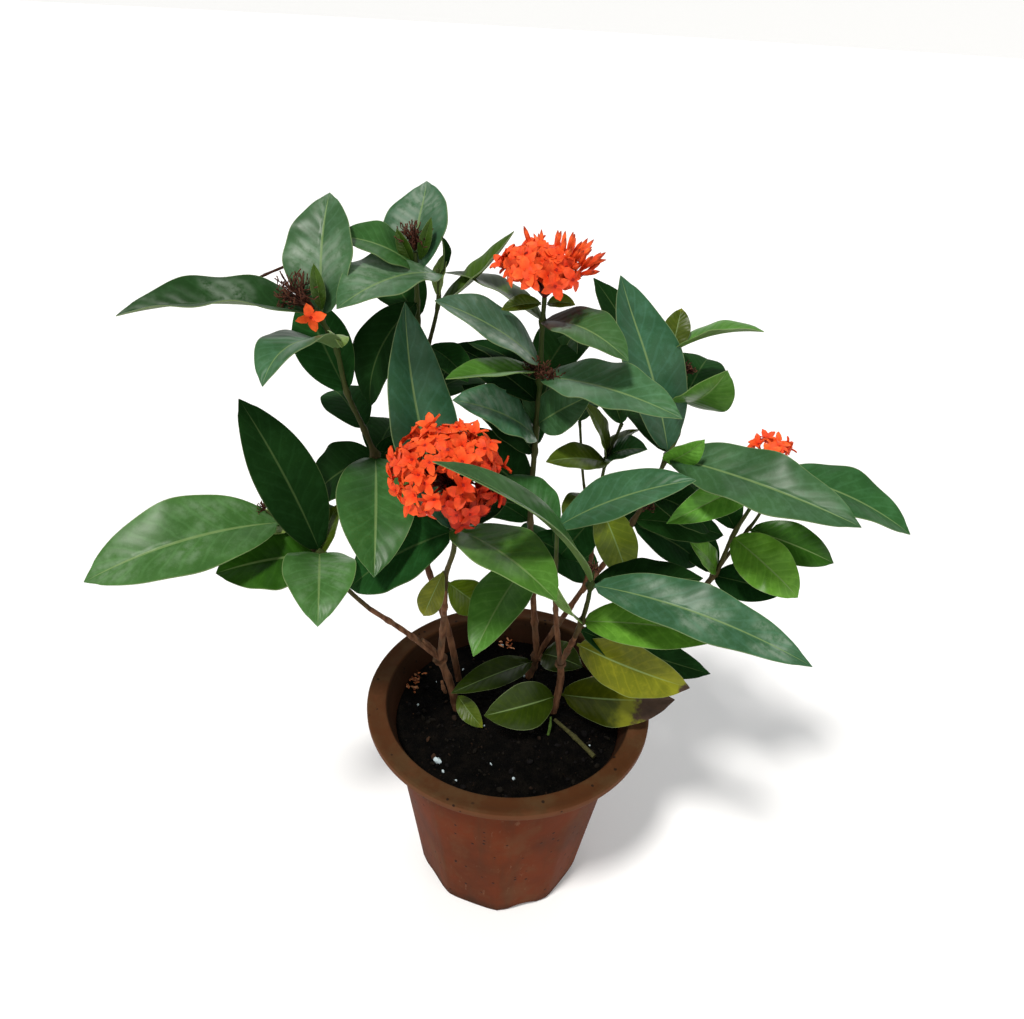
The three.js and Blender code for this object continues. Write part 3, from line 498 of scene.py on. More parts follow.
class Paint:
    """A material, and the one way to add a node to it."""

    def __init__(self, name, **even):
        self.material = bpy.data.materials.new(name)
        self.material.use_nodes = True
        self.tree = self.material.node_tree
        self.shader = self.tree.nodes["Principled BSDF"]
        for key, value in even.items():
            self.shader.inputs[key.replace("_", " ")].default_value = value

    def node(self, kind, settings=None, inputs=None, output=0):
        made = self.tree.nodes.new(kind)
        for key, value in (settings or {}).items():
            setattr(made, key, value)
        for key, value in (inputs or {}).items():
            self.feed(made.inputs[key], value)
        return Value(self, made.outputs[output])

    def feed(self, socket, value):
        if isinstance(value, Value):
            self.tree.links.new(value.socket, socket)
        else:
            socket.default_value = value

    def colour(self, socket, value):
        self.feed(self.shader.inputs[socket], value)

    def place(self):
        return self.node("ShaderNodeTexCoord", output="Object")

    def noise(self, scale, detail=2.0, stretch=(1, 1, 1), roughness=0.5):
        """Noise between 0 and 1 over the object, `scale` waves to the metre."""
        spot = self.node("ShaderNodeMapping", None, {"Vector": self.place(), "Scale": stretch})
        inputs = {"Vector": spot, "Scale": scale, "Detail": detail, "Roughness": roughness}
        return self.node("ShaderNodeTexNoise", None, inputs)

    def cells(self, scale, output="Distance"):
        """Distance to the middle of the nearest of many cells, or that cell's own colour."""
        return self.node("ShaderNodeTexVoronoi", None, {"Vector": self.place(), "Scale": scale}, output)

    def mix(self, share, a, b, blend="MIX"):
        settings = {"data_type": "RGBA", "blend_type": blend, "clamp_factor": True}
        opaque = [(*c, 1) if isinstance(c, tuple) else c for c in (a, b)]
        return self.node("ShaderNodeMix", settings, {0: share, 6: opaque[0], 7: opaque[1]}, output=2)

    def tint(self, output="Color"):
        return self.node("ShaderNodeAttribute", {"attribute_name": "tint"}, output=output)

    def flag(self, name):
        return self.node("ShaderNodeAttribute", {"attribute_name": name}, output="Fac")

    def height(self):
        return self.node("ShaderNodeSeparateXYZ", None, {"Vector": self.place()}, output="Z")

    def from_axis(self):
        """Distance from the upright axis."""
        spot = self.node("ShaderNodeVectorMath", {"operation": "MULTIPLY"}, {0: self.place(), 1: (1, 1, 0)})
        return self.node("ShaderNodeVectorMath", {"operation": "LENGTH"}, {0: spot}, output="Value")

    def bump(self, height, depth, strength=1.0):
        """Raises the surface by `depth` metres where `height` is 1."""
        inputs = {"Height": height, "Distance": depth, "Strength": strength}
        self.colour("Normal", self.node("ShaderNodeBump", None, inputs))


VEINS = 10.5  # pairs of side veins on a leaf


def leaf_paint(name, specular, in_shade):
    """A leaf: shallow folds between side veins, thin pale midrib and edge, matt and olive below, pale
    streaks of painted sheen on the tones that carry it, and a dimmer midrib and edge on leaves painted as in
    shade.
    """
    paint = Paint(name, Specular_IOR_Level=specular)
    uv = paint.node("ShaderNodeUVMap", {"uv_map": "blade"})
    across = paint.node("ShaderNodeSeparateXYZ", None, {"Vector": uv}, output="X")
    along = paint.node("ShaderNodeSeparateXYZ", None, {"Vector": uv}, output="Y")
    out = abs(across - 0.5) * 2
    below = paint.flag("below")
    age = paint.tint("Alpha")
    cloud = paint.noise(34, 3)
    blotch = paint.noise(150, 3, roughness=0.65)
    fleck = paint.noise(900, 2, roughness=0.7)
    sweep = along * VEINS - (out ** 0.75) * 2.1 + (paint.noise(70, 1) - 0.5) * 0.6
    ripple = (sweep.math("PINGPONG", sweep, 0.5) * 2).between(0, 1)
    inner = out.between(0.98, 0.70)
    vein = ripple.between(0.16, 0.0) * inner
    rib = out.between(0.050, 0.018)
    edge = out.between(0.970, 0.992)
    body = paint.mix(cloud.between(0.3, 0.72), (0.80, 0.82, 0.80), (1.20, 1.16, 1.18))
    body = paint.mix(1.0, paint.tint(), body, "MULTIPLY")
    pale = paint.mix(1.0, body, (2.1, 1.8, 2.6), "MULTIPLY")
    body = paint.mix(blotch.between(0.44, 0.70) * 0.34, body, pale)
    body = paint.mix(fleck.between(0.60, 0.78) * 0.40, body, pale)
    body = paint.mix(vein * 0.24, body, pale)
    # painted sheen: pale streaks between the side veins that stand for reflected light, on the tones that
    # carry it
    sheen_streaks = paint.flag("painted_sheen") * (0.40 + ripple * 0.60)
    sheen_streaks = sheen_streaks * cloud.between(0.40, 0.66) * blotch.between(0.30, 0.58)
    body = paint.mix(sheen_streaks * inner * 0.50, body, (0.330, 0.385, 0.320))
    under = paint.mix(0.60, body, (0.110, 0.165, 0.038))
    body = paint.mix(below, body, under)
    # painted shade: the pale midrib and edge are dimmer on leaves painted as in shade
    body = paint.mix(rib * (0.62 - in_shade * 0.44), body, (0.200, 0.300, 0.105))
    body = paint.mix(edge * (0.50 - in_shade * 0.30), body, (0.230, 0.300, 0.120))
    old_tip = age.between(-0.01, 0.01)
    far = along * old_tip + (1 - along) * (1 - old_tip)
    patch = paint.noise(40, 4, roughness=0.6) * 0.6 + far * 0.75 + abs(age) * 0.55
    halo = patch.between(1.00, 1.16)
    burnt = patch.between(1.18, 1.24)
    body = paint.mix(halo * old_tip * 0.60, body, (0.240, 0.250, 0.012))
    body = paint.mix(burnt, body, paint.mix(blotch, (0.022, 0.014, 0.010), (0.085, 0.048, 0.030)))
    paint.colour("Base Color", body)
    shine = 0.22 + cloud * 0.14 + blotch * 0.12 + below * 0.22 + burnt * 0.22 + in_shade * 0.45
    paint.colour("Roughness", shine)
    relief = ripple * inner * 0.6 + blotch * 0.35 + cloud * 0.5 - rib * 0.6
    paint.bump(relief, 0.0006, 0.30)
    return paint


def green_stem_paint():
    """A young stem: green above, turning brown and corky towards the wood."""
    paint = Paint("green_stem", Specular_IOR_Level=0.12)
    cork = paint.noise(240, 3, (1, 1, 0.3))
    age = paint.tint("Alpha")
    fresh = paint.mix(cork.between(0.35, 0.7), (0.030, 0.058, 0.011), (0.055, 0.080, 0.021))
    woody = paint.mix(cork.between(0.3, 0.7), (0.048, 0.021, 0.010), (0.098, 0.049, 0.026))
    paint.colour("Base Color", paint.mix(age, fresh, woody))
    paint.colour("Roughness", 0.5 + cork * 0.3)
    paint.bump(cork, 0.0006, 0.6)
    return paint


def bark_paint():
    """Thin brown bark with pale cracks along it and green-grey patches."""
    paint = Paint("brown_bark", Specular_IOR_Level=0.15)
    cork = paint.noise(300, 4, (1, 1, 0.22))
    patch = paint.noise(45, 3)
    rings = paint.noise(260, 2, (0.15, 0.15, 1))
    body = paint.mix(cork.between(0.32, 0.7), (0.080, 0.032, 0.015), (0.210, 0.098, 0.050))
    body = paint.mix(patch.between(0.5, 0.7) * 0.5, body, (0.100, 0.075, 0.045))
    body = paint.mix(rings.between(0.62, 0.74) * 0.4, body, (0.17, 0.11, 0.075))
    paint.colour("Base Color", body)
    paint.colour("Roughness", 0.68 + cork * 0.22)
    paint.bump(cork * 0.7 + rings * 0.5, 0.0010, 0.8)
    return paint


def petal_paint():
    """Soft orange-red petals, deeper in the throat."""
    paint = Paint("ixora_petal", Specular_IOR_Level=0.2)
    grain = paint.noise(500, 2)
    glow = paint.mix(grain.between(0.3, 0.7), (0.86, 0.80, 0.8), (1.08, 1.1, 1.1))
    paint.colour("Base Color", paint.mix(1.0, paint.tint(), glow, "MULTIPLY"))
    paint.colour("Roughness", 0.48 + grain * 0.16)
    paint.bump(grain, 0.0004, 0.4)
    return paint


def dried_paint():
    """Dead flower stalks: dry, dark red-brown, with paler broken tips."""
    paint = Paint("dried_stalks", Specular_IOR_Level=0.2)
    grain = paint.noise(420, 3)
    body = paint.mix(grain.between(0.35, 0.7), (0.024, 0.007, 0.004), (0.095, 0.030, 0.016))
    paint.colour("Base Color", paint.mix(paint.tint("Alpha") * 0.6, body, (0.190, 0.080, 0.045)))
    paint.colour("Roughness", 0.75 + grain * 0.2)
    paint.bump(grain, 0.0006, 0.8)
    return paint


def pot_paint():
    """Weathered brown plastic: dusty sides, run-off streaks, scuffs, a darker band at the foot, a painted
    highlight along the flange's rolled edge and painted shade on the inner wall above the soil.
    """
    paint = Paint("pot_plastic", Specular_IOR_Level=0.03)
    cloud = paint.noise(16, 4, roughness=0.6)
    dust = paint.noise(38, 5, (1, 1, 0.7), roughness=0.65)
    streak = paint.noise(52, 4, (1, 1, 0.10), roughness=0.6)
    speck = paint.cells(230)
    chosen = paint.cells(230, "Color").channel("Red")
    scuff = paint.noise(210, 4, (1, 1, 0.35), roughness=0.65)
    level = paint.height()
    body = paint.mix(cloud.between(0.34, 0.66), (0.079, 0.019, 0.006), (0.120, 0.024, 0.006))
    body = paint.mix(streak.between(0.46, 0.70) * 0.6, body, (0.067, 0.025, 0.010))
    body = paint.mix(dust.between(0.46, 0.70) * 0.6, body, (0.108, 0.045, 0.020))
    body = paint.mix(scuff.between(0.61, 0.75) * 0.55, body, (0.165, 0.082, 0.046))
    # darker towards the bottom of the foot
    foot = (level + (dust - 0.5) * 0.03).between(0.016, 0.001)
    body = paint.mix(foot * 0.6, body, (0.030, 0.018, 0.011))
    flange = (level + (cloud - 0.5) * 0.01).between(0.168, 0.176)
    rim = paint.mix(dust.between(0.40, 0.66), (0.064, 0.026, 0.010), (0.070, 0.039, 0.017))
    rim = paint.mix(streak.between(0.55, 0.7) * 0.5, rim, (0.100, 0.036, 0.015))
    body = paint.mix(flange * 0.85, body, rim)
    # painted highlight: a lighter band round the flange's rolled edges
    lip_highlight = level.between(0.1790, 0.1780) * level.between(0.1725, 0.1735)
    body = paint.mix(lip_highlight * 0.55, body, (0.135, 0.052, 0.024))
    # painted shade: the inner wall between the soil and the rim is painted near-black brown
    inside = paint.from_axis().between(0.0960, 0.0945) * level.between(0.150, 0.160)
    body = paint.mix(inside * 0.85, body, (0.022, 0.012, 0.007))
    dirt = speck.between(0.34, 0.20) * chosen.between(0.91, 0.93)
    body = paint.mix(dirt * 0.85, body, (0.012, 0.008, 0.006))
    paint.colour("Base Color", body)
    paint.colour("Roughness", 0.46 + dust * 0.26 + foot * 0.15)
    paint.bump(scuff * 0.5 + dust * 0.5 + dirt * 0.6, 0.0005, 0.5)
    return paint


def soil_paint():
    """Moist potting soil: near-black, with brown fibres and fine grit."""
    paint = Paint("potting_soil", Specular_IOR_Level=0.05)
    lump = paint.noise(120, 6, roughness=0.7)
    grit = paint.cells(520)
    body = paint.mix(lump.between(0.38, 0.72), (0.0012, 0.0011, 0.0010), (0.0060, 0.0046, 0.0034))
    body = paint.mix(paint.noise(330, 3).between(0.66, 0.76) * 0.6, body, (0.038, 0.020, 0.012))
    paint.colour("Base Color", body)
    paint.colour("Roughness", 0.78 + lump * 0.2)
    paint.bump(lump + grit * 0.4, 0.0030, 1.0)
    return paint


def litter_paint():
    """Bits on the soil, each in the colour that its vertices carry."""
    paint = Paint("soil_litter", Specular_IOR_Level=0.12)
    grain = paint.noise(600, 3)
    shade = paint.mix(grain.between(0.3, 0.7), (0.7, 0.7, 0.7), (1.2, 1.2, 1.2))
    paint.colour("Base Color", paint.mix(1.0, paint.tint(), shade, "MULTIPLY"))
    paint.colour("Roughness", 0.7 + grain * 0.25)
    paint.bump(grain, 0.0008, 0.8)
    return paint


LEAF = leaf_paint("ixora_leaf", specular=0.16, in_shade=0)
# the matt material for leaves painted as in shade
SHADED_LEAF = leaf_paint("ixora_shaded_leaf", specular=0.03, in_shade=1)
GREEN_STEM = green_stem_paint()
BARK = bark_paint()
PETAL = petal_paint()
DRIED = dried_paint()
PLASTIC = pot_paint()
SOIL = soil_paint()
LITTER = litter_paint()

# ---- leaves -------------------------------------------------------------------------------------

LEAF_ROWS = 36
LEAF_COLUMNS = 14
LEAF_THICK = 0.5
BLUNT = 0.78  # the lower, the rounder a leaf's ends
CURL_SHARE = 0.3  # share of a leaf's length, at its tip, that turns down
STALK = 0.055  # share of a leaf's length that is its stalk
STALK_HALF = 1.0  # half the width of the stalk, and of the very tip
POINT_HALF = 0.12


def leaf_pattern():
    """A flat grid with its own map: across the leaf, and from stem to tip."""
    bpy.ops.mesh.primitive_grid_add(x_subdivisions=LEAF_COLUMNS, y_subdivisions=LEAF_ROWS, size=2)
    grid = bpy.context.object
    grid.name = "leaf_pattern"
    grid.data.uv_layers[0].name = "blade"
    return grid


def leaf_points(look, spots, trim=0.0):
    """Bends the flat grid's spots, from -1 to 1 each way, into a leaf."""
    across = spots[:, 0]
    along = (spots[:, 1] + 1) / 2
    rows = len(along)
    start = np.array(look["start"], float)
    tip = np.array(look["tip"], float)
    course = unit(tip - start)
    start = start + trim * course
    faces = np.array(look["faces"], float)
    up = unit(faces - faces.dot(course) * course)
    side = np.cross(course, up)
    middle = (start + tip) / 2 + 2 * look["bow"] * up
    s = along[:, None]
    centre = (1 - s) ** 2 * start + 2 * s * (1 - s) * middle + s**2 * tip
    tangent = 2 * (1 - s) * (middle - start) + 2 * s * (tip - middle)
    tangent /= np.linalg.norm(tangent, axis=1, keepdims=True)
    normal = np.cross(np.tile(side, (rows, 1)), tangent)
    swell = np.sin(math.pi * along ** (math.log(0.5) / math.log(look["peak"]))).clip(0, 1) ** BLUNT
    stalk = np.clip(along / STALK, 0, 1) ** 1.3
    point = 1 - 0.22 * np.exp(-(((along - 0.965) / 0.03) ** 2))
    least = np.where(along < 0.5, STALK_HALF, POINT_HALF)
    half = np.maximum(look["wide"] * 0.5 * swell * stalk * point, least)
    reach = np.abs(across)
    seed = sum(look["start"]) + 3 * sum(look["tip"])
    rolls = 2.2 + (seed % 5) * 0.3
    phase = seed * 0.7 + np.where(across > 0, 1.9, 0)
    rise = half * math.sin(math.radians(look["fold"])) * (1.35 * reach - 0.35 * reach**3)
    rise += half * look["wave"] * reach**1.6 * np.sin(TAU * rolls * along + phase) * np.sin(math.pi * along)
    length = np.linalg.norm(tip - start)
    rise -= look["curl"] * length * ((along - (1 - CURL_SHARE)).clip(0, 1) / CURL_SHARE) ** 2
    spread = across * half * math.cos(math.radians(look["fold"]))
    return centre + side * spread[:, None] + normal * rise[:, None]


def grow_leaf(pattern, name, look, trim=0.0):
    blade = copy_of(pattern, name)
    set_points(blade, leaf_points(look, get_points(pattern), trim) * MM)
    colour, age = LEAF_TONES[look["tone"]]
    rng = random.Random(name)
    gain = rng.uniform(0.88, 1.12)
    warm = rng.uniform(0.92, 1.10)
    even_tint(blade, (colour[0] * gain * warm, colour[1] * gain, colour[2] * gain / warm), age)
    # flags for the painted shade of the dark tones and for how much painted sheen a tone carries
    for flag, amount in (("in_shade", float(look["tone"] in SHADED_TONES)), ("painted_sheen", SHEEN_AMOUNT.get(look["tone"], 0.0))):
        layer = blade.data.attributes.new(flag, "FLOAT", "POINT")
        layer.data.foreach_set("value", [amount] * len(layer.data))
    return blade


def thicken_leaves(leaves):
    """Gives the joined blades their thickness, marks their undersides, and gives the leaves painted as in
    shade the matt material.
    """
    for _ in range(2):
        leaves.data.materials.append(LEAF.material)
    add_modifier(leaves, "SOLIDIFY", thickness=LEAF_THICK * MM, offset=0, material_offset=1)
    mesh = leaves.data
    below = np.zeros(len(mesh.polygons), np.int32)
    mesh.polygons.foreach_get("material_index", below)
    layer = mesh.attributes.new("below", "FLOAT", "FACE")
    layer.data.foreach_set("value", below.astype(np.float32))
    in_shade = np.empty(len(mesh.vertices), np.float32)
    mesh.attributes["in_shade"].data.foreach_get("value", in_shade)
    first = [face.vertices[0] for face in mesh.polygons]
    mesh.materials.clear()
    for paint in (LEAF, SHADED_LEAF):
        mesh.materials.append(paint.material)
    mesh.polygons.foreach_set("material_index", (in_shade[first] > 0.5).astype(np.int32))


def mark_stem(thing):
    """A stem in the same mesh as leaves has the second material and counts as an upper side."""
    count = len(thing.data.polygons)
    thing.data.attributes.new("below", "FLOAT", "FACE")
    thing.data.materials.append(LEAF.material)
    thing.data.materials.append(GREEN_STEM.material)
    thing.data.polygons.foreach_set("material_index", np.ones(count, np.int32))
    thing.data.uv_layers.new(name="blade")


# ---- stems --------------------------------------------------------------------------------------

JOINT_SWELL = 0.36  # how much thicker a stem is at a joint, as a share
JOINT_REACH = 2.6
WAVER = 0.10
OLD_JOINTS = (0.42, 0.75)  # where old leaves left their joints along a woody stem
SLIM = 0.84  # stems have this share of the solid stems' radii


def tube(name, points, radii, sides=10):
    """A closed round tube with its own radius at every point."""
    line = bpy.data.curves.new(name, "CURVE")
    line.dimensions = "3D"
    line.bevel_depth = MM
    line.bevel_resolution = max(0, sides // 4 - 1)
    line.use_fill_caps = True
    spline = line.splines.new("POLY")
    spline.points.add(len(points) - 1)
    for knot, spot, radius in zip(spline.points, points, radii):
        knot.co = (*(np.asarray(spot, float) * MM), 1)
        knot.radius = radius
    thing = bpy.data.objects.new(name, line)
    bpy.context.collection.objects.link(thing)
    choose(thing)
    bpy.ops.object.convert(target="MESH")
    made = bpy.context.object
    made.name = made.data.name = name
    return made


def stem_tube(name, route, radii, joints=(), start_gap=0.0, sides=12):
    """A stem that swells at its joints and wavers a little in thickness."""
    spots = smooth_route(route, 2.5)
    if start_gap:
        spots[0] += unit(spots[1] - spots[0]) * start_gap
    share = np.linspace(0, 1, len(spots))
    radius = radii[0] + (radii[1] - radii[0]) * share
    for joint in joints:
        away = np.linalg.norm(spots - np.array(joint, float), axis=1)
        radius = radius * (1 + JOINT_SWELL * np.exp(-((away / JOINT_REACH) ** 2)))
    waver = [noise.noise(Vector(spot) * 0.21) for spot in spots]
    radius = radius * (1 + WAVER * np.array(waver))
    return tube(name, spots, radius, sides)


def build_wood(name, forks):
    """A woody stem with its side branches, standing in the soil."""
    bits = []
    for number, (route, radii) in enumerate(forks):
        joints = [other[0][0] for other in forks[1:]] if number == 0 else []
        joints += [tuple(np.array(route[0]) * (1 - t) + np.array(route[-1]) * t) for t in OLD_JOINTS]
        slim = np.array(radii) * SLIM
        bits.append(stem_tube(f"{name}_{number}", route, slim, joints, sides=16))
    return finish_piece(joined(bits, f"{name}_bark"), "bark", name, materials=[BARK])


def build_shoot(pattern, name, shoot):
    """A leafy shoot: its leaves and green stems in one piece."""
    blades = [grow_leaf(pattern, f"{name}_{i}", look) for i, look in enumerate(shoot["leaves"])]
    leaves = joined(blades, f"{name}_leaves")
    thicken_leaves(leaves)
    bits = [leaves]
    joints = [look["start"] for look in shoot["leaves"]]
    for number, (route, radii) in enumerate(shoot["stems"]):
        gap = 0 if number else GAP
        slim = np.array(radii) * SLIM
        stem = stem_tube(f"{name}_stem_{number}", route, slim, joints, gap)
        heights = get_points(stem)[:, 2] / MM
        low, high = route[0][2], route[-1][2]
        wood = np.clip(0.85 - (heights - low) / (high - low + 1), 0.12, 1)
        set_tint(stem, np.column_stack([np.full((len(wood), 3), 0.1), wood]))
        mark_stem(stem)
        bits.append(stem)
    whole = joined(bits, f"{name}_foliage")
    return finish_piece(whole, "green_leaf", name, angle=50)


def build_old_leaf(pattern, name, look):
    blade = grow_leaf(pattern, f"{name}_blade", look, OLD_LEAF_TRIM)
    thicken_leaves(blade)
    return finish_piece(blade, "old_leaf", name, materials=[LEAF], angle=50)


# ---- flowers ------------------------------------------------------------------------------------

PETAL_TIP = (0.98, 0.148, 0.028)
PETAL_BASE = (0.86, 0.062, 0.009)
THROAT = (0.38, 0.012, 0.004)
BUD_TIP = (0.42, 0.050, 0.014)
STALK_RED = (0.085, 0.012, 0.010)

# Along a petal: shares of its length and of its width.
LOBE_STATIONS = ((0.0, 0.42), (0.34, 1.0), (0.72, 0.74), (1.0, 0.04))
FLORET_TUBE = 15


def solid_piece(name, points, faces, tints):
    """A closed mesh with a colour at each point, in millimetres."""
    mesh = bpy.data.meshes.new(name)
    mesh.from_pydata([tuple(p) for p in points], [], faces)
    thing = bpy.data.objects.new(name, mesh)
    bpy.context.collection.objects.link(thing)
    set_tint(thing, [(*t, 0) for t in tints])
    clean_normals(thing)
    return thing


def ringed(points, faces, tints, rings, sides):
    """Adds a closed skin over rings of (height, radius, colour) to the lists of a mesh."""
    first = len(points)
    for height, radius, colour in rings:
        for k in range(sides):
            turn = k * TAU / sides
            points.append(np.array([radius * math.cos(turn), radius * math.sin(turn), height]))
            tints.append(colour)
    for row in range(len(rings) - 1):
        for k in range(sides):
            a = first + sides * row + k
            b = first + sides * row + (k + 1) % sides
            faces.append((a, a + sides, b + sides, b))
    last = first + sides * (len(rings) - 1)
    faces += [tuple(range(first, first + sides)), tuple(range(last + sides - 1, last - 1, -1))]


def floret_pattern(name, lobe, wide, lift, droop):
    """A floret that looks along +Z: four pointed lobes on a slender tube.

    The lobes rise by `lift` degrees at their root and bend back by `droop` degrees towards their tip.
    """
    points = []
    faces = []
    tints = []
    for quarter in range(4):
        turn = quarter * math.pi / 2
        out = np.array([math.cos(turn), math.sin(turn), 0])
        side = np.array([-math.sin(turn), math.cos(turn), 0])
        first = len(points)
        centre = out * 0.7
        last_share = 0.0
        for share, width in LOBE_STATIONS:
            slope = math.radians(lift - droop * share)
            step = (share - last_share) * lobe
            centre = centre + step * (out * math.cos(slope) + np.array([0, 0, math.sin(slope)]))
            last_share = share
            up = np.array([0, 0, 1]) * math.cos(slope) - out * math.sin(slope)
            half = wide * width
            lean = 0.35 * half * (1 if quarter % 2 else -1)
            points += [centre + side * half + up * (0.5 + lean), centre - up * 0.1]
            points += [centre - side * half + up * (0.5 - lean), centre - up * 0.6]
            tints += [np.array(PETAL_BASE) * (1 - share) + np.array(PETAL_TIP) * share] * 4
        for row in range(len(LOBE_STATIONS) - 1):
            for k in range(4):
                a = first + 4 * row + k
                b = first + 4 * row + (k + 1) % 4
                faces.append((a, a + 4, b + 4, b))
        last = first + 4 * (len(LOBE_STATIONS) - 1)
        faces += [(first, first + 1, first + 2, first + 3), (last + 3, last + 2, last + 1, last)]
    tube_rings = [(0.3, 1.1, THROAT), (-2.5, 0.75, PETAL_BASE),
                  (-FLORET_TUBE, 0.55, np.array(PETAL_BASE) * 0.5)]
    ringed(points, faces, tints, tube_rings, 4)
    return solid_piece(name, points, faces, tints)


def bud_pattern(name):
    """A long bud, closed to a point."""
    base = np.array(PETAL_BASE)
    middle = (base + np.array(PETAL_TIP)) / 2
    rings = [
        (-FLORET_TUBE, 0.55, base * 0.5), (-4, 0.7, base * 0.8), (-1, 1.1, base), (3, 1.55, middle),
        (7, 1.35, PETAL_TIP), (9.5, 0.6, BUD_TIP), (10.6, 0.1, BUD_TIP),
    ]
    points = []
    faces = []
    tints = []
    ringed(points, faces, tints, rings, 5)
    return solid_piece(name, points, faces, tints)


def cap_directions(axis, count, spread):
    """Directions spread evenly over a cap around an axis, in degrees from it."""
    lowest = math.cos(math.radians(spread))
    turn = Vector((0, 0, 1)).rotation_difference(Vector(axis))
    made = []
    for i in range(count):
        z = 1 - ((i + 0.5) / count) * (1 - lowest)
        r = math.sqrt(1 - z * z)
        angle = i * math.pi * (3 - math.sqrt(5))
        made.append(np.array(turn @ Vector((r * math.cos(angle), r * math.sin(angle), z))))
    return made


def set_floret(pattern, name, face, direction, spin, size, gain):
    """Copies a floret to its place in a head, looking along `direction`."""
    floret = copy_of(pattern, name)
    turn = Vector((0, 0, 1)).rotation_difference(Vector(direction)).to_matrix()
    turn = np.array(turn @ Matrix.Rotation(spin, 3, "Z"))
    set_points(floret, (get_points(pattern) * size @ turn.T + face) * MM)
    layer = floret.data.attributes["tint"].data
    tints = np.empty(4 * len(layer), np.float32)
    layer.foreach_get("color", tints)
    set_tint(floret, tints.reshape(-1, 4) * [gain, gain**2.1, gain**1.8, 1])
    return floret


# Shoot, radius, florets, how far round they reach in degrees, height of its middle over the stem,
# how far it is flattened, share of buds.
HEADS = {
    "flower_head_top": ("shoot_centre", 30, 92, 72, 12, 0.42, 1.0),
    "flower_head_front": ("shoot_front", 32, 86, 92, 12, 0.16, 0.0),
    "flower_head_right": ("shoot_far_right", 15, 10, 66, 2, 0.3, 0.2),
}
SMALL_HEAD = 10  # a head of so few florets has smaller ones
TO_LIGHT = np.array([-0.06, -0.22, 0.12])  # florets turn a little to the front
# More florets that hang on one side of a head: where, how many, and how far round in degrees.
HANGING = {"flower_head_front": (unit(np.array([0.66, -0.62, -0.38])), 14, 26)}
BUD_SIDE = np.array([0.62, 0.25, 0.74])  # buds stand on this side of a head
SHADED_SIDE = unit(np.array([0.70, -0.45, -0.55]))  # painted shade: florets on this side are painted darker and redder
# Where a head is open between its branches.
PARTINGS = {"flower_head_front": unit(np.array([-0.03, -0.90, 0.40]))}
PARTING_EDGE = 0.966  # cosine of half the angle of the opening


def stem_end(shoot, number=0):
    route = smooth_route(SHOOTS[shoot]["stems"][number][0], 1.0)
    return route[-1], unit(route[-1] - route[-2])


def build_head(name, patterns):
    """A head of florets: open ones, half-open ones and, on the top head, many pointed buds."""
    shoot, radius, count, spread, lift, flat, buds = HEADS[name]
    end, axis = stem_end(shoot)
    middle = end + axis * (GAP + lift)
    hub = end + axis * (GAP + 0.25 * lift + 2)
    rng = random.Random(name)
    bits = []
    directions = cap_directions(axis, count, spread)
    if name in HANGING:
        directions += cap_directions(*HANGING[name])
    for i, direction in enumerate(directions):
        direction = unit(direction + scatter(rng, 0.10))
        if name in PARTINGS and direction.dot(PARTINGS[name]) > PARTING_EDGE:
            continue
        reach = radius * rng.uniform(0.74, 1.02)
        kind = rng.choice(["flat", "flat", "reflexed", "reflexed", "half"])
        if rng.random() < buds * (direction.dot(BUD_SIDE) - 0.45) * 2.6:
            kind = "bud"
        size = rng.uniform(0.85, 1.08) * (1 if count > SMALL_HEAD else 0.9)
        face = middle + (direction - flat * direction.dot(axis) * axis) * reach
        looks = unit(direction + TO_LIGHT + scatter(rng, 0.30))
        spin = rng.uniform(0, TAU)
        # painted shade: florets that face the shaded side are darker, and redder since their green falls
        # faster
        gain = rng.uniform(0.80, 1.08) * (1 - 0.52 * max(0.0, direction.dot(SHADED_SIDE)))
        floret = set_floret(patterns[kind], f"{name}_{i}", face, looks, spin, size, gain)
        root = face - looks * (FLORET_TUBE - 1) * size
        course = [end + axis * GAP, (hub + root) / 2, root]
        stalk = tube(f"{name}_stalk_{i}", course, [1.1, 0.7, 0.75], 4)
        even_tint(stalk, STALK_RED)
        bits += [floret, stalk]
    return finish_piece(joined(bits, f"{name}_florets"), "petal", name, materials=[PETAL], angle=30)


def build_single(patterns):
    """One floret that stands alone among the leaves."""
    face = np.array([-123.5, -26, 487])
    looks = unit(np.array([2.0, -11, -1]))
    floret = set_floret(patterns["flat"], "flower_single_floret", face, looks, spin=0.4, size=1.0, gain=1.0)
    return finish_piece(floret, "petal", "flower_single", materials=[PETAL], angle=30)


# Shoot, which of its stems, how far the tuft leans away from its end, its radius and its stalks.
DRIED_HEADS = {
    "dried_head_left": ("shoot_upper_left", 0, (-9, -1, 6), 12, 40),
    "dried_head_top": ("shoot_top", 0, (0, 0, 6), 10, 36),
    "dried_head_right": ("shoot_right", 0, (0, 0, 2), 6, 22),
    "dried_head_front": ("shoot_front_right", 0, (0, 0, 1), 5, 16),
    "dried_head_low_left": ("shoot_left", 1, (0, 0, 1), 5, 14),
}
TUFT_SPREAD = 95  # degrees that a spent head's stalks reach round its axis


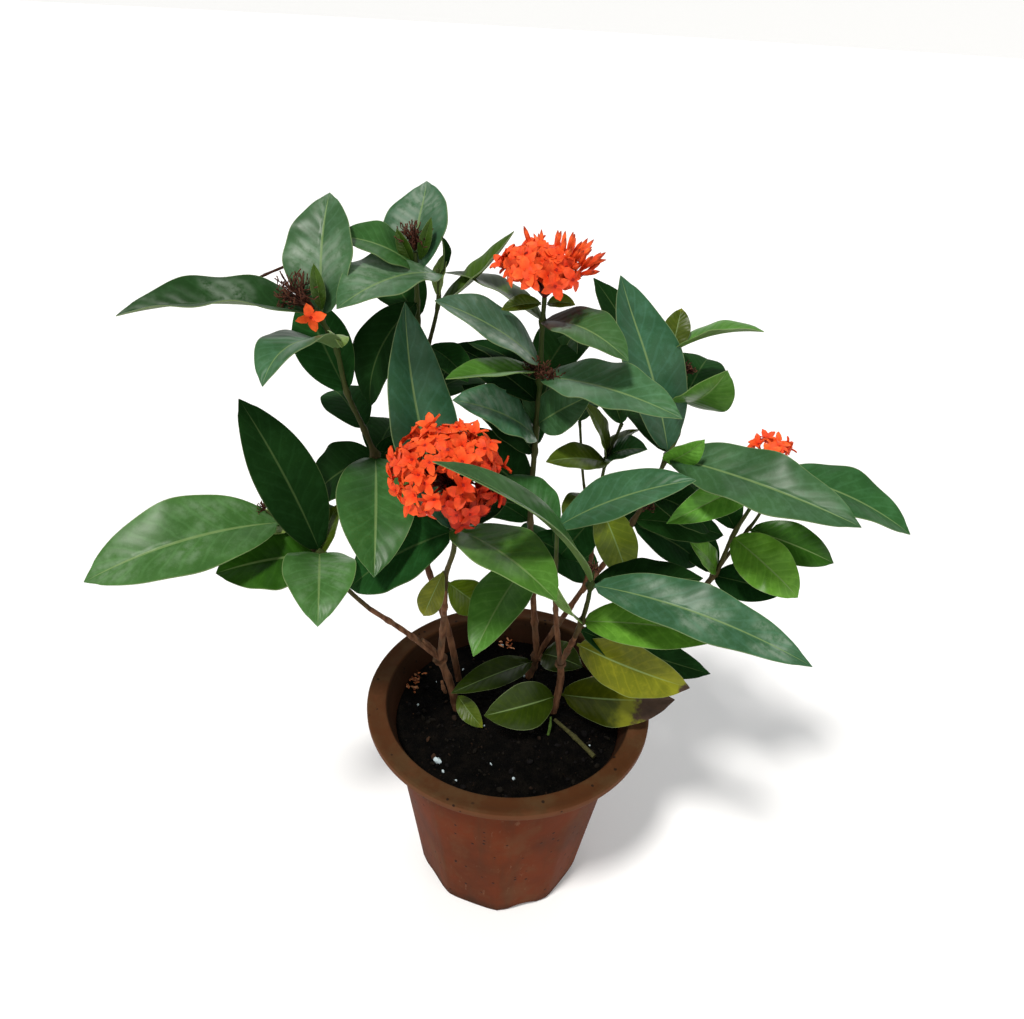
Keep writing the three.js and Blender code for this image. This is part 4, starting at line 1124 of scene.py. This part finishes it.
def stubble(name, root, centre, axis, radius, count, spread, rng):
    """A tuft of dry stalks: each bends on its way out and forks into two curled ends."""
    bits = []
    for i, direction in enumerate(cap_directions(axis, count, spread)):
        reach = radius * rng.uniform(0.6, 1.1)
        knee = centre + direction * reach * 0.45 + scatter(rng, 0.22) * reach
        for fork_number in range(2):
            lean = scatter(rng, 0.5)
            end = centre + unit(direction + lean * 0.7) * reach
            hook = end + unit(lean + np.array([0, 0, 0.5])) * reach * 0.28
            spots = [knee, (knee + end) / 2 + lean, end, hook] if fork_number else [root, knee, end, hook]
            stalk = tube(f"{name}_{i}_{fork_number}", spots, [0.45, 0.34, 0.28, 0.42], 4)
            away = np.linalg.norm(get_points(stalk) / MM - centre, axis=1) / radius
            set_tint(stalk, np.column_stack([np.full((len(away), 3), 0.05), np.clip(away - 0.6, 0, 1)]))
            bits.append(stalk)
    return bits


def build_dried(name):
    """What is left of a spent head: a tuft of dry stalks on the end of its stem."""
    shoot, number, lean, radius, count = DRIED_HEADS[name]
    end, axis = stem_end(shoot, number)
    rng = random.Random(name)
    root = end + axis * (GAP + 0.8)
    bits = stubble(name, root, root + np.array(lean, float), axis, radius, count, TUFT_SPREAD, rng)
    return finish_piece(joined(bits, f"{name}_stalks"), "dried_stalk", name, materials=[DRIED], angle=30)


# ---- the pot ------------------------------------------------------------------------------------


def body_radius(z):
    return FOOT_RADIUS + (BODY_RADIUS - FOOT_RADIUS) * (z - FOOT_LEVEL) / (SHOULDER - FOOT_LEVEL)


def flatten_panels(thing):
    """Turns the round foot into flat panels that fade out on the way up, with a corner to the front."""
    points = get_points(thing) / MM
    angle = np.arctan2(points[:, 1], points[:, 0])
    panel = TAU / PANELS
    from_middle = np.mod(angle + panel / 2, panel) - panel / 2
    share = math.cos(panel / 2) / np.cos(from_middle)
    share -= 0.010 * np.exp(-(((np.abs(from_middle) - panel / 2) / (0.10 * panel)) ** 2))
    flatness = FLATNESS * np.clip(1 - (points[:, 2].clip(0) / SHOULDER) ** 1.6, 0, 1)
    points[:, :2] *= (1 - flatness + flatness * share)[:, None]
    set_points(thing, points * MM)


def spun(name, profile, steps):
    """Spins a profile of (radius, height) once round the upright axis."""
    mesh = bpy.data.meshes.new(name)
    edges = [(i, i + 1) for i in range(len(profile) - 1)]
    mesh.from_pydata([(r * MM, 0, z * MM) for r, z in profile], edges, [])
    thing = bpy.data.objects.new(name, mesh)
    bpy.context.collection.objects.link(thing)
    choose(thing)
    bpy.ops.object.mode_set(mode="EDIT")
    bpy.ops.mesh.select_all(action="SELECT")
    bpy.ops.mesh.spin(steps=steps, angle=TAU, center=(0, 0, 0), axis=(0, 0, 1))
    bpy.ops.object.mode_set(mode="OBJECT")
    clean_normals(thing)
    return thing


def arc(centre, radius, start, end, count):
    """Points of a round edge, by angle in degrees from outwards to upwards."""
    turns = [math.radians(start + (end - start) * i / (count - 1)) for i in range(count)]
    return [(centre[0] + radius * math.cos(t), centre[1] + radius * math.sin(t)) for t in turns]


FOOT_HOLLOW = 3  # height of the hollow between the pad in the middle and the ring
FOOT_PAD = 16
FOOT_RING = 55  # inner radius of the ring that the pot stands on
ARCH_WIDE = 30
ARCH_HIGH = 6
ARCHES = 5
HOLES = 4
HOLE_RADIUS = 5
HOLE_CIRCLE = 36


def build_pot():
    """The shell: a ten-sided foot, a body that turns round, and a flat flange with a rolled edge."""
    outside = [(body_radius(z), z) for z in np.linspace(FOOT_LEVEL, SHOULDER - 8, 12)]
    bead = arc((BODY_RADIUS + 1.6, SHOULDER + 9), 2.2, -70, 60, 6)
    edge = [*arc((RIM_RADIUS - 1.6, POT_HEIGHT - LIP + 1.6), 1.6, -120, 0, 6),
            *arc((RIM_RADIUS - 2.2, POT_HEIGHT - 2.2), 2.2, 0, 90, 7)]
    inner_edge = arc((OPENING_RADIUS + 1.8, POT_HEIGHT - 2.2), 1.8, 90, 180, 6)
    inside = [(body_radius(z) - WALL, z) for z in np.linspace(SHOULDER - 6, FLOOR + 3, 8)]
    profile = [
        (0, 0), (FOOT_PAD, 0), (FOOT_PAD, FOOT_HOLLOW), (FOOT_RING, FOOT_HOLLOW), (FOOT_RING, 0),
        (FOOT_RADIUS - 4, 0), (FOOT_RADIUS - 2, 0.7), (FOOT_RADIUS - 0.6, 2.2),
        *outside, (BODY_RADIUS, SHOULDER), (BODY_RADIUS + 1.4, SHOULDER + 5),
        *bead, (OPENING_RADIUS + 5, POT_HEIGHT - 4), (RIM_RADIUS - 4, POT_HEIGHT - 3.6),
        *edge, (RIM_RADIUS - 5, POT_HEIGHT - 0.5), ((RIM_RADIUS + OPENING_RADIUS) / 2, POT_HEIGHT - 1.0),
        (OPENING_RADIUS + 4, POT_HEIGHT - 0.5), *inner_edge, (OPENING_RADIUS - 1.2, POT_HEIGHT - 7),
        (BODY_RADIUS - 0.6, SHOULDER + 6), *inside, (body_radius(FLOOR) - WALL - 3, FLOOR), (0, FLOOR),
    ]
    pot = spun("pot_shell", profile, 192)
    flatten_panels(pot)
    cutters = []
    for turn in np.arange(HOLES) * TAU / HOLES:
        bpy.ops.mesh.primitive_cylinder_add(vertices=24, radius=HOLE_RADIUS * MM, depth=0.03)
        hole = bpy.context.object
        middle = [HOLE_CIRCLE * MM * math.cos(turn), HOLE_CIRCLE * MM * math.sin(turn), 0.005]
        set_points(hole, get_points(hole) + middle)
        cutters.append(hole)
    arch_radius = (ARCH_WIDE**2 / 4 + ARCH_HIGH**2) / (2 * ARCH_HIGH)
    upright = np.array(Matrix.Rotation(math.pi / 2, 3, "X"))
    for turn in np.arange(ARCHES) * TAU / ARCHES:
        bpy.ops.mesh.primitive_cylinder_add(vertices=128, radius=arch_radius * MM, depth=0.024)
        arch = bpy.context.object
        lying = get_points(arch) @ upright.T + [0, 0.064, (ARCH_HIGH - arch_radius) * MM]
        swing = np.array(Matrix.Rotation(turn - TAU / 4, 3, "Z"))
        set_points(arch, lying @ swing.T)
        cutters.append(arch)
    for cutter in cutters:
        add_modifier(pot, "BOOLEAN", object=cutter, operation="DIFFERENCE", solver="EXACT")
        bpy.data.objects.remove(cutter)
    return finish_piece(pot, "pot_plastic", "pot", materials=[PLASTIC], angle=32)


# ---- the soil -----------------------------------------------------------------------------------


def soil_height(x, y):
    """Height of the soil's surface, with its lumps."""
    share = math.hypot(x, y) / (body_radius(SOIL_EDGE) - WALL)
    lumps = 0.9 * math.sin(x / 9 + 1) * math.cos(y / 11) + 0.6 * math.sin(y / 6 + x / 14)
    base = SOIL_EDGE + SOIL_DOME * (1 - share**2) + lumps * (1 - share)
    rough = 1.6 * noise.fractal(Vector((x, y, 0)) * 0.09, 0.8, 2.1, 4)
    rough += 0.9 * noise.noise(Vector((x, y, 9)) * 0.42)
    return base + rough * (1 - share**6)


def build_soil():
    """The bed of soil: it fills the pot, and its surface is rough with lumps."""
    clear = WALL + GAP
    top = body_radius(SOIL_EDGE) - clear
    side = [(body_radius(z) - clear, z) for z in (FLOOR + GAP, 40, 75, 110, 140, SOIL_EDGE)]
    surface = [(top * share, SOIL_EDGE + 1) for share in np.linspace(0.985, 0, 62)]
    bed = spun("soil_bed", [(0, FLOOR + GAP), *side, *surface], 150)
    flatten_panels(bed)
    points = get_points(bed) / MM
    for point in points:
        if point[2] > SOIL_EDGE + 0.5:
            point[2] = soil_height(point[0], point[1])
    set_points(bed, points * MM)
    return finish_piece(bed, "potting_soil", "soil", materials=[SOIL], angle=70)


def lump(pattern, name, spot, size, tint, rng):
    """A rough crumb, squashed and turned at random."""
    made = copy_of(pattern, name)
    turn = np.array(Matrix.Rotation(rng.uniform(0, TAU), 3, Vector(scatter(rng, 1))))
    stretch = np.array([rng.uniform(0.6, 1.3), rng.uniform(0.5, 1.0), rng.uniform(0.4, 0.8)])
    shaped = get_points(pattern) * stretch
    for point in shaped:
        point *= 1 + 0.35 * noise.noise(Vector(point * 1.7 + spot * 0.3))
    set_points(made, (shaped @ turn.T * size + spot) * MM)
    even_tint(made, tint)
    return made


CRUMBS = 280
CRUMB_REACH = 84  # from the middle of the bed
CRUMB_SIZES = [0.8, 1.1, 1.6, 2.4]
CRUMB_COLOURS = [(0.004, 0.003, 0.003), (0.008, 0.006, 0.004), (0.018, 0.010, 0.006), (0.045, 0.022, 0.012)]
CRUMB_SHARES = (6, 5, 2, 0.4)  # how often each colour comes


def build_crumbs():
    """Loose crumbs of soil, bark and grit strewn over the bed."""
    bpy.ops.mesh.primitive_ico_sphere_add(subdivisions=2, radius=1)
    pattern = bpy.context.object
    rng = random.Random("crumbs")
    bits = []
    for i in range(CRUMBS):
        away = CRUMB_REACH * math.sqrt(rng.random())
        turn = rng.uniform(0, TAU)
        x, y = away * math.cos(turn), away * math.sin(turn)
        size = rng.choice(CRUMB_SIZES)
        spot = np.array([x, y, soil_height(x, y) + size * 0.25])
        colour = rng.choices(CRUMB_COLOURS, CRUMB_SHARES)[0]
        bits.append(lump(pattern, f"crumb_{i}", spot, size, colour, rng))
    bpy.data.objects.remove(pattern)
    return finish_piece(joined(bits, "soil_crumbs"), "potting_soil", materials=[LITTER], angle=60)


PERLITE_WHITE = (0.55, 0.66, 0.70)
# Where each grain lies, and its size.
PERLITE = [(-51, -52, 3.3), (-36, -68, 1.4), (-11, -53, 1.2), (6, -65, 1.5), (-72, 4, 1.2), (-7, 81, 1.4),
           (-18, -17, 1.1), (64, -29, 1.0), (-39, 46, 1.2), (52, 62, 1.0), (-46, -60, 1.2), (28, 58, 1.1),
           (-4, 64, 1.3), (13, 40, 1.2), (60, 26, 1.0), (-60, 30, 1.0)]


def build_perlite():
    """White grains of perlite among the soil."""
    bpy.ops.mesh.primitive_ico_sphere_add(subdivisions=3, radius=1)
    pattern = bpy.context.object
    rng = random.Random("perlite")
    bits = []
    for i, (x, y, size) in enumerate(PERLITE):
        spot = np.array([x, y, soil_height(x, y) + size * 0.35])
        bits.append(lump(pattern, f"perlite_{i}", spot, size, PERLITE_WHITE, rng))
    bpy.data.objects.remove(pattern)
    return finish_piece(joined(bits, "perlite_grains"), "potting_soil", materials=[LITTER], angle=60)


# ---- twigs, bracts and litter -------------------------------------------------------------------

# The points each passes, its radii at the two ends and its colour.
TWIGS = {
    "twig_upper_left": ([(-144, 2, 506), (-155, 2, 501), (-167, 2, 495)], 0.8, 0.5, (0.050, 0.020, 0.011)),
    "stub_left": ([(-147, -22, 338), (-155, -22, 352), (-161, -22, 364)], 1.1, 0.7, (0.085, 0.045, 0.024)),
    "stub_pot": ([(-49, -10, 190), (-50, -16, 200), (-51, -18, 209)], 1.5, 1.2, (0.120, 0.055, 0.028)),
    "twig_on_soil": ([(37, -10, 166), (52, -27, 166), (66, -44, 165)], 1.5, 1.9, (0.060, 0.058, 0.020)),
    "sprout": ([(32, -22, 162), (33, -20, 170), (33, -18, 177)], 1.2, 0.8, (0.060, 0.110, 0.020)),
}
# Bracts: where each sits on its stem, where it points, its width and the way it looks.
BRACTS = [
    ((4, 11, 490), (-19, 8, 486), 12, (0, -6, 8), "olive"),
    ((8, 11, 490), (24, 6, 492), 11, (0, -6, 8), "olive"),
    ((-74, 27, 506), (-82, 22, 526), 9, (-1, -9, 3), "moss"),
    ((-69, 27, 508), (-62, 24, 533), 8, (1, -9, 3), "moss"),
]


def build_twigs():
    """Broken twigs and stubs, and what lies or sprouts on the soil."""
    bits = []
    for name, (route, thick, thin, colour) in TWIGS.items():
        twig = stem_tube(name, route, (thick, thin), [route[1]], sides=12)
        even_tint(twig, colour)
        bits.append(twig)
    return finish_piece(joined(bits, "twigs"), "bark", materials=[LITTER], angle=50)


def build_bracts(pattern):
    """Small worn leaves under the heads."""
    blades = []
    for number, (start, tip, wide, faces, tone) in enumerate(BRACTS):
        blades.append(grow_leaf(pattern, f"bract_{number}", leaf(start, tip, wide, 2, faces, tone, fold=24)))
    bracts = joined(blades, "bracts")
    thicken_leaves(bracts)
    return finish_piece(bracts, "green_leaf", materials=[LEAF], angle=50)


# Where old heads left their stalks, the tuft's radius and its stalks.
TUFTS = [((3, 7, 449), 9, 26), ((13, 5, 446), 8, 18), ((-24, -2, 452), 5, 12), ((85, 2, 358), 6, 14)]
TUFT_AXIS = np.array([0.0, -0.3, 0.95])


def build_tufts():
    """Stalks of older heads, left where the middle stem and two side stems fork."""
    rng = random.Random("tufts")
    bits = []
    for number, (place, radius, count) in enumerate(TUFTS):
        spot = np.array(place, float)
        bits += stubble(f"tuft_{number}", spot, spot, TUFT_AXIS, radius, count, 88, rng)
    return finish_piece(joined(bits, "dried_tufts"), "dried_stalk", materials=[DRIED], angle=30)


# Clumps of fibres: where each lies and how far it spreads.
FIBRES = [((-80, 27), 8), ((-76, 36), 7), ((-3, 83), 8), ((72, 42), 6)]
FIBRE_COLOURS = [(0.48, 0.15, 0.06), (0.74, 0.34, 0.18), (0.26, 0.08, 0.04)]
STRANDS = 14


def build_fibres():
    """Orange-brown shreds of old flowers and bark against the wall of the pot."""
    rng = random.Random("fibres")
    bits = []
    for number, ((x, y), spread) in enumerate(FIBRES):
        for strand in range(STRANDS):
            spot = np.array([x + rng.uniform(-1, 1) * spread * 0.6, y + rng.uniform(-1, 1) * spread, 0])
            spot[2] = soil_height(spot[0], spot[1]) + rng.uniform(0.6, 2.4)
            turn = rng.uniform(0, TAU)
            course = np.array([math.cos(turn), math.sin(turn), rng.uniform(-0.1, 0.5)]) * rng.uniform(2, 5)
            bend = scatter(rng, 1)
            route = [spot, spot + course * 0.5 + bend, spot + course]
            fibre = tube(f"fibre_{number}_{strand}", route, [0.6, 0.85, 0.5], 4)
            even_tint(fibre, rng.choice(FIBRE_COLOURS))
            bits.append(fibre)
    return finish_piece(joined(bits, "soil_fibres"), "potting_soil", materials=[LITTER], angle=40)


# ---- assembly -----------------------------------------------------------------------------------


def build_plant():
    pattern = leaf_pattern()
    for name, forks in STEMS.items():
        build_wood(name, forks)
    for name, shoot in SHOOTS.items():
        build_shoot(pattern, name, shoot)
    for name, look in OLD_LEAVES.items():
        build_old_leaf(pattern, name, look)
    build_bracts(pattern)
    bpy.data.objects.remove(pattern)
    patterns = {
        "flat": floret_pattern("flat_floret", 8.0, 2.9, 14, 20),
        "reflexed": floret_pattern("reflexed_floret", 8.0, 2.8, 22, 75),
        "half": floret_pattern("half_floret", 8.0, 2.5, 55, 30),
        "bud": bud_pattern("bud"),
    }
    for name in HEADS:
        build_head(name, patterns)
    build_single(patterns)
    for floret in patterns.values():
        bpy.data.objects.remove(floret)
    for name in DRIED_HEADS:
        build_dried(name)


KEY_FROM = (-0.5, -0.7, 1.6)
KEY_STRENGTH = 2.72
# Place in metres, diameter, power and colour.
LAMPS = [
    ("fill", (1.6, -1.3, 1.1), 1.4, 7, (1.0, 0.98, 0.95)),
    ("back", (0.2, 2.0, 1.75), 2.4, 11, (0.95, 0.97, 1.0)),
]
LAMPS_AIM = Vector((0, 0, 0.3))  # the middle of the plant, in metres
# The floor and the round wall, in metres.
FLOOR_SIDE = 120
WALL_AWAY = 34
WALL_TOP = 30
WALL_FADE = 3  # the wall's glow fades from this height to its top
ROOM_GLOW = 0.20


def build_stage():
    """A wide pale floor, a soft sun above the front left, and wide lamps behind and to the right."""
    bpy.ops.mesh.primitive_plane_add(size=FLOOR_SIDE)
    ground = bpy.context.object
    ground.name = "floor"
    paint = Paint("pale_floor", Roughness=0.9, Emission_Strength=0.09)
    paint.colour("Base Color", (0.90, 0.90, 0.90, 1))
    paint.colour("Emission Color", (1.0, 1.0, 1.0, 1))
    ground.data.materials.append(paint.material)
    bpy.ops.mesh.primitive_cylinder_add(
        vertices=96, radius=WALL_AWAY, depth=WALL_TOP, end_fill_type="NOTHING",
    )
    wall = bpy.context.object
    wall.name = "backdrop"
    set_points(wall, get_points(wall) + [0, 0, WALL_TOP / 2])
    glow = Paint("pale_backdrop", Roughness=1.0, Emission_Strength=0.84)
    glow.colour("Base Color", (0.10, 0.10, 0.10, 1))
    fade = glow.height().between(WALL_FADE, WALL_TOP)
    glow.colour("Emission Color", glow.mix(fade, (1.0, 0.995, 0.975), (0.22, 0.225, 0.23)))
    wall.data.materials.append(glow.material)
    sun = bpy.data.lights.new("key", "SUN")
    sun.angle = math.radians(9)
    sun.energy = KEY_STRENGTH
    sun.color = (1.0, 0.97, 0.93)
    holder = bpy.data.objects.new("key", sun)
    holder.rotation_euler = Vector(KEY_FROM).to_track_quat("Z", "Y").to_euler()
    bpy.context.collection.objects.link(holder)
    for name, place, size, power, colour in LAMPS:
        lamp = bpy.data.lights.new(name, "AREA")
        lamp.shape = "DISK"
        lamp.size = size
        lamp.energy = power
        lamp.color = colour
        holder = bpy.data.objects.new(name, lamp)
        holder.location = place
        aim = LAMPS_AIM - Vector(place)
        holder.rotation_euler = aim.to_track_quat("-Z", "Y").to_euler()
        bpy.context.collection.objects.link(holder)
    world = bpy.data.worlds.new("studio")
    world.use_nodes = True
    sky = world.node_tree.nodes["Background"]
    sky.inputs["Color"].default_value = (0.95, 0.97, 1.0, 1)
    sky.inputs["Strength"].default_value = ROOM_GLOW
    bpy.context.scene.world = world
    bpy.context.scene.view_settings.view_transform = "Standard"


CAMERA_PLACE = (-10.9, -455.1, 638.0)
CAMERA_YAW = math.radians(0.62)
CAMERA_PITCH = math.radians(32.12)
CAMERA_ROLL = math.radians(3.35)
CAMERA_LENS = 28.125  # on a sensor 36 mm wide


def build_camera():
    level_share = math.cos(CAMERA_PITCH)
    ahead = Vector((
        math.sin(CAMERA_YAW) * level_share,
        math.cos(CAMERA_YAW) * level_share,
        -math.sin(CAMERA_PITCH),
    ))
    level = ahead.cross(Vector((0, 0, 1))).normalized()
    over = level.cross(ahead)
    right = level * math.cos(CAMERA_ROLL) + over * math.sin(CAMERA_ROLL)
    up = over * math.cos(CAMERA_ROLL) - level * math.sin(CAMERA_ROLL)
    lens = bpy.data.cameras.new("camera")
    lens.lens = CAMERA_LENS
    lens.sensor_width = 36
    lens.clip_start = 0.02
    camera = bpy.data.objects.new("camera", lens)
    turn = Matrix((right, up, -ahead)).transposed().to_4x4()
    camera.matrix_world = Matrix.Translation(Vector(CAMERA_PLACE) * MM) @ turn
    bpy.context.collection.objects.link(camera)
    bpy.context.scene.camera = camera


deselect()
build_camera()
build_stage()
build_pot()
build_soil()
build_crumbs()
build_perlite()
build_fibres()
build_plant()
build_twigs()
build_tufts()
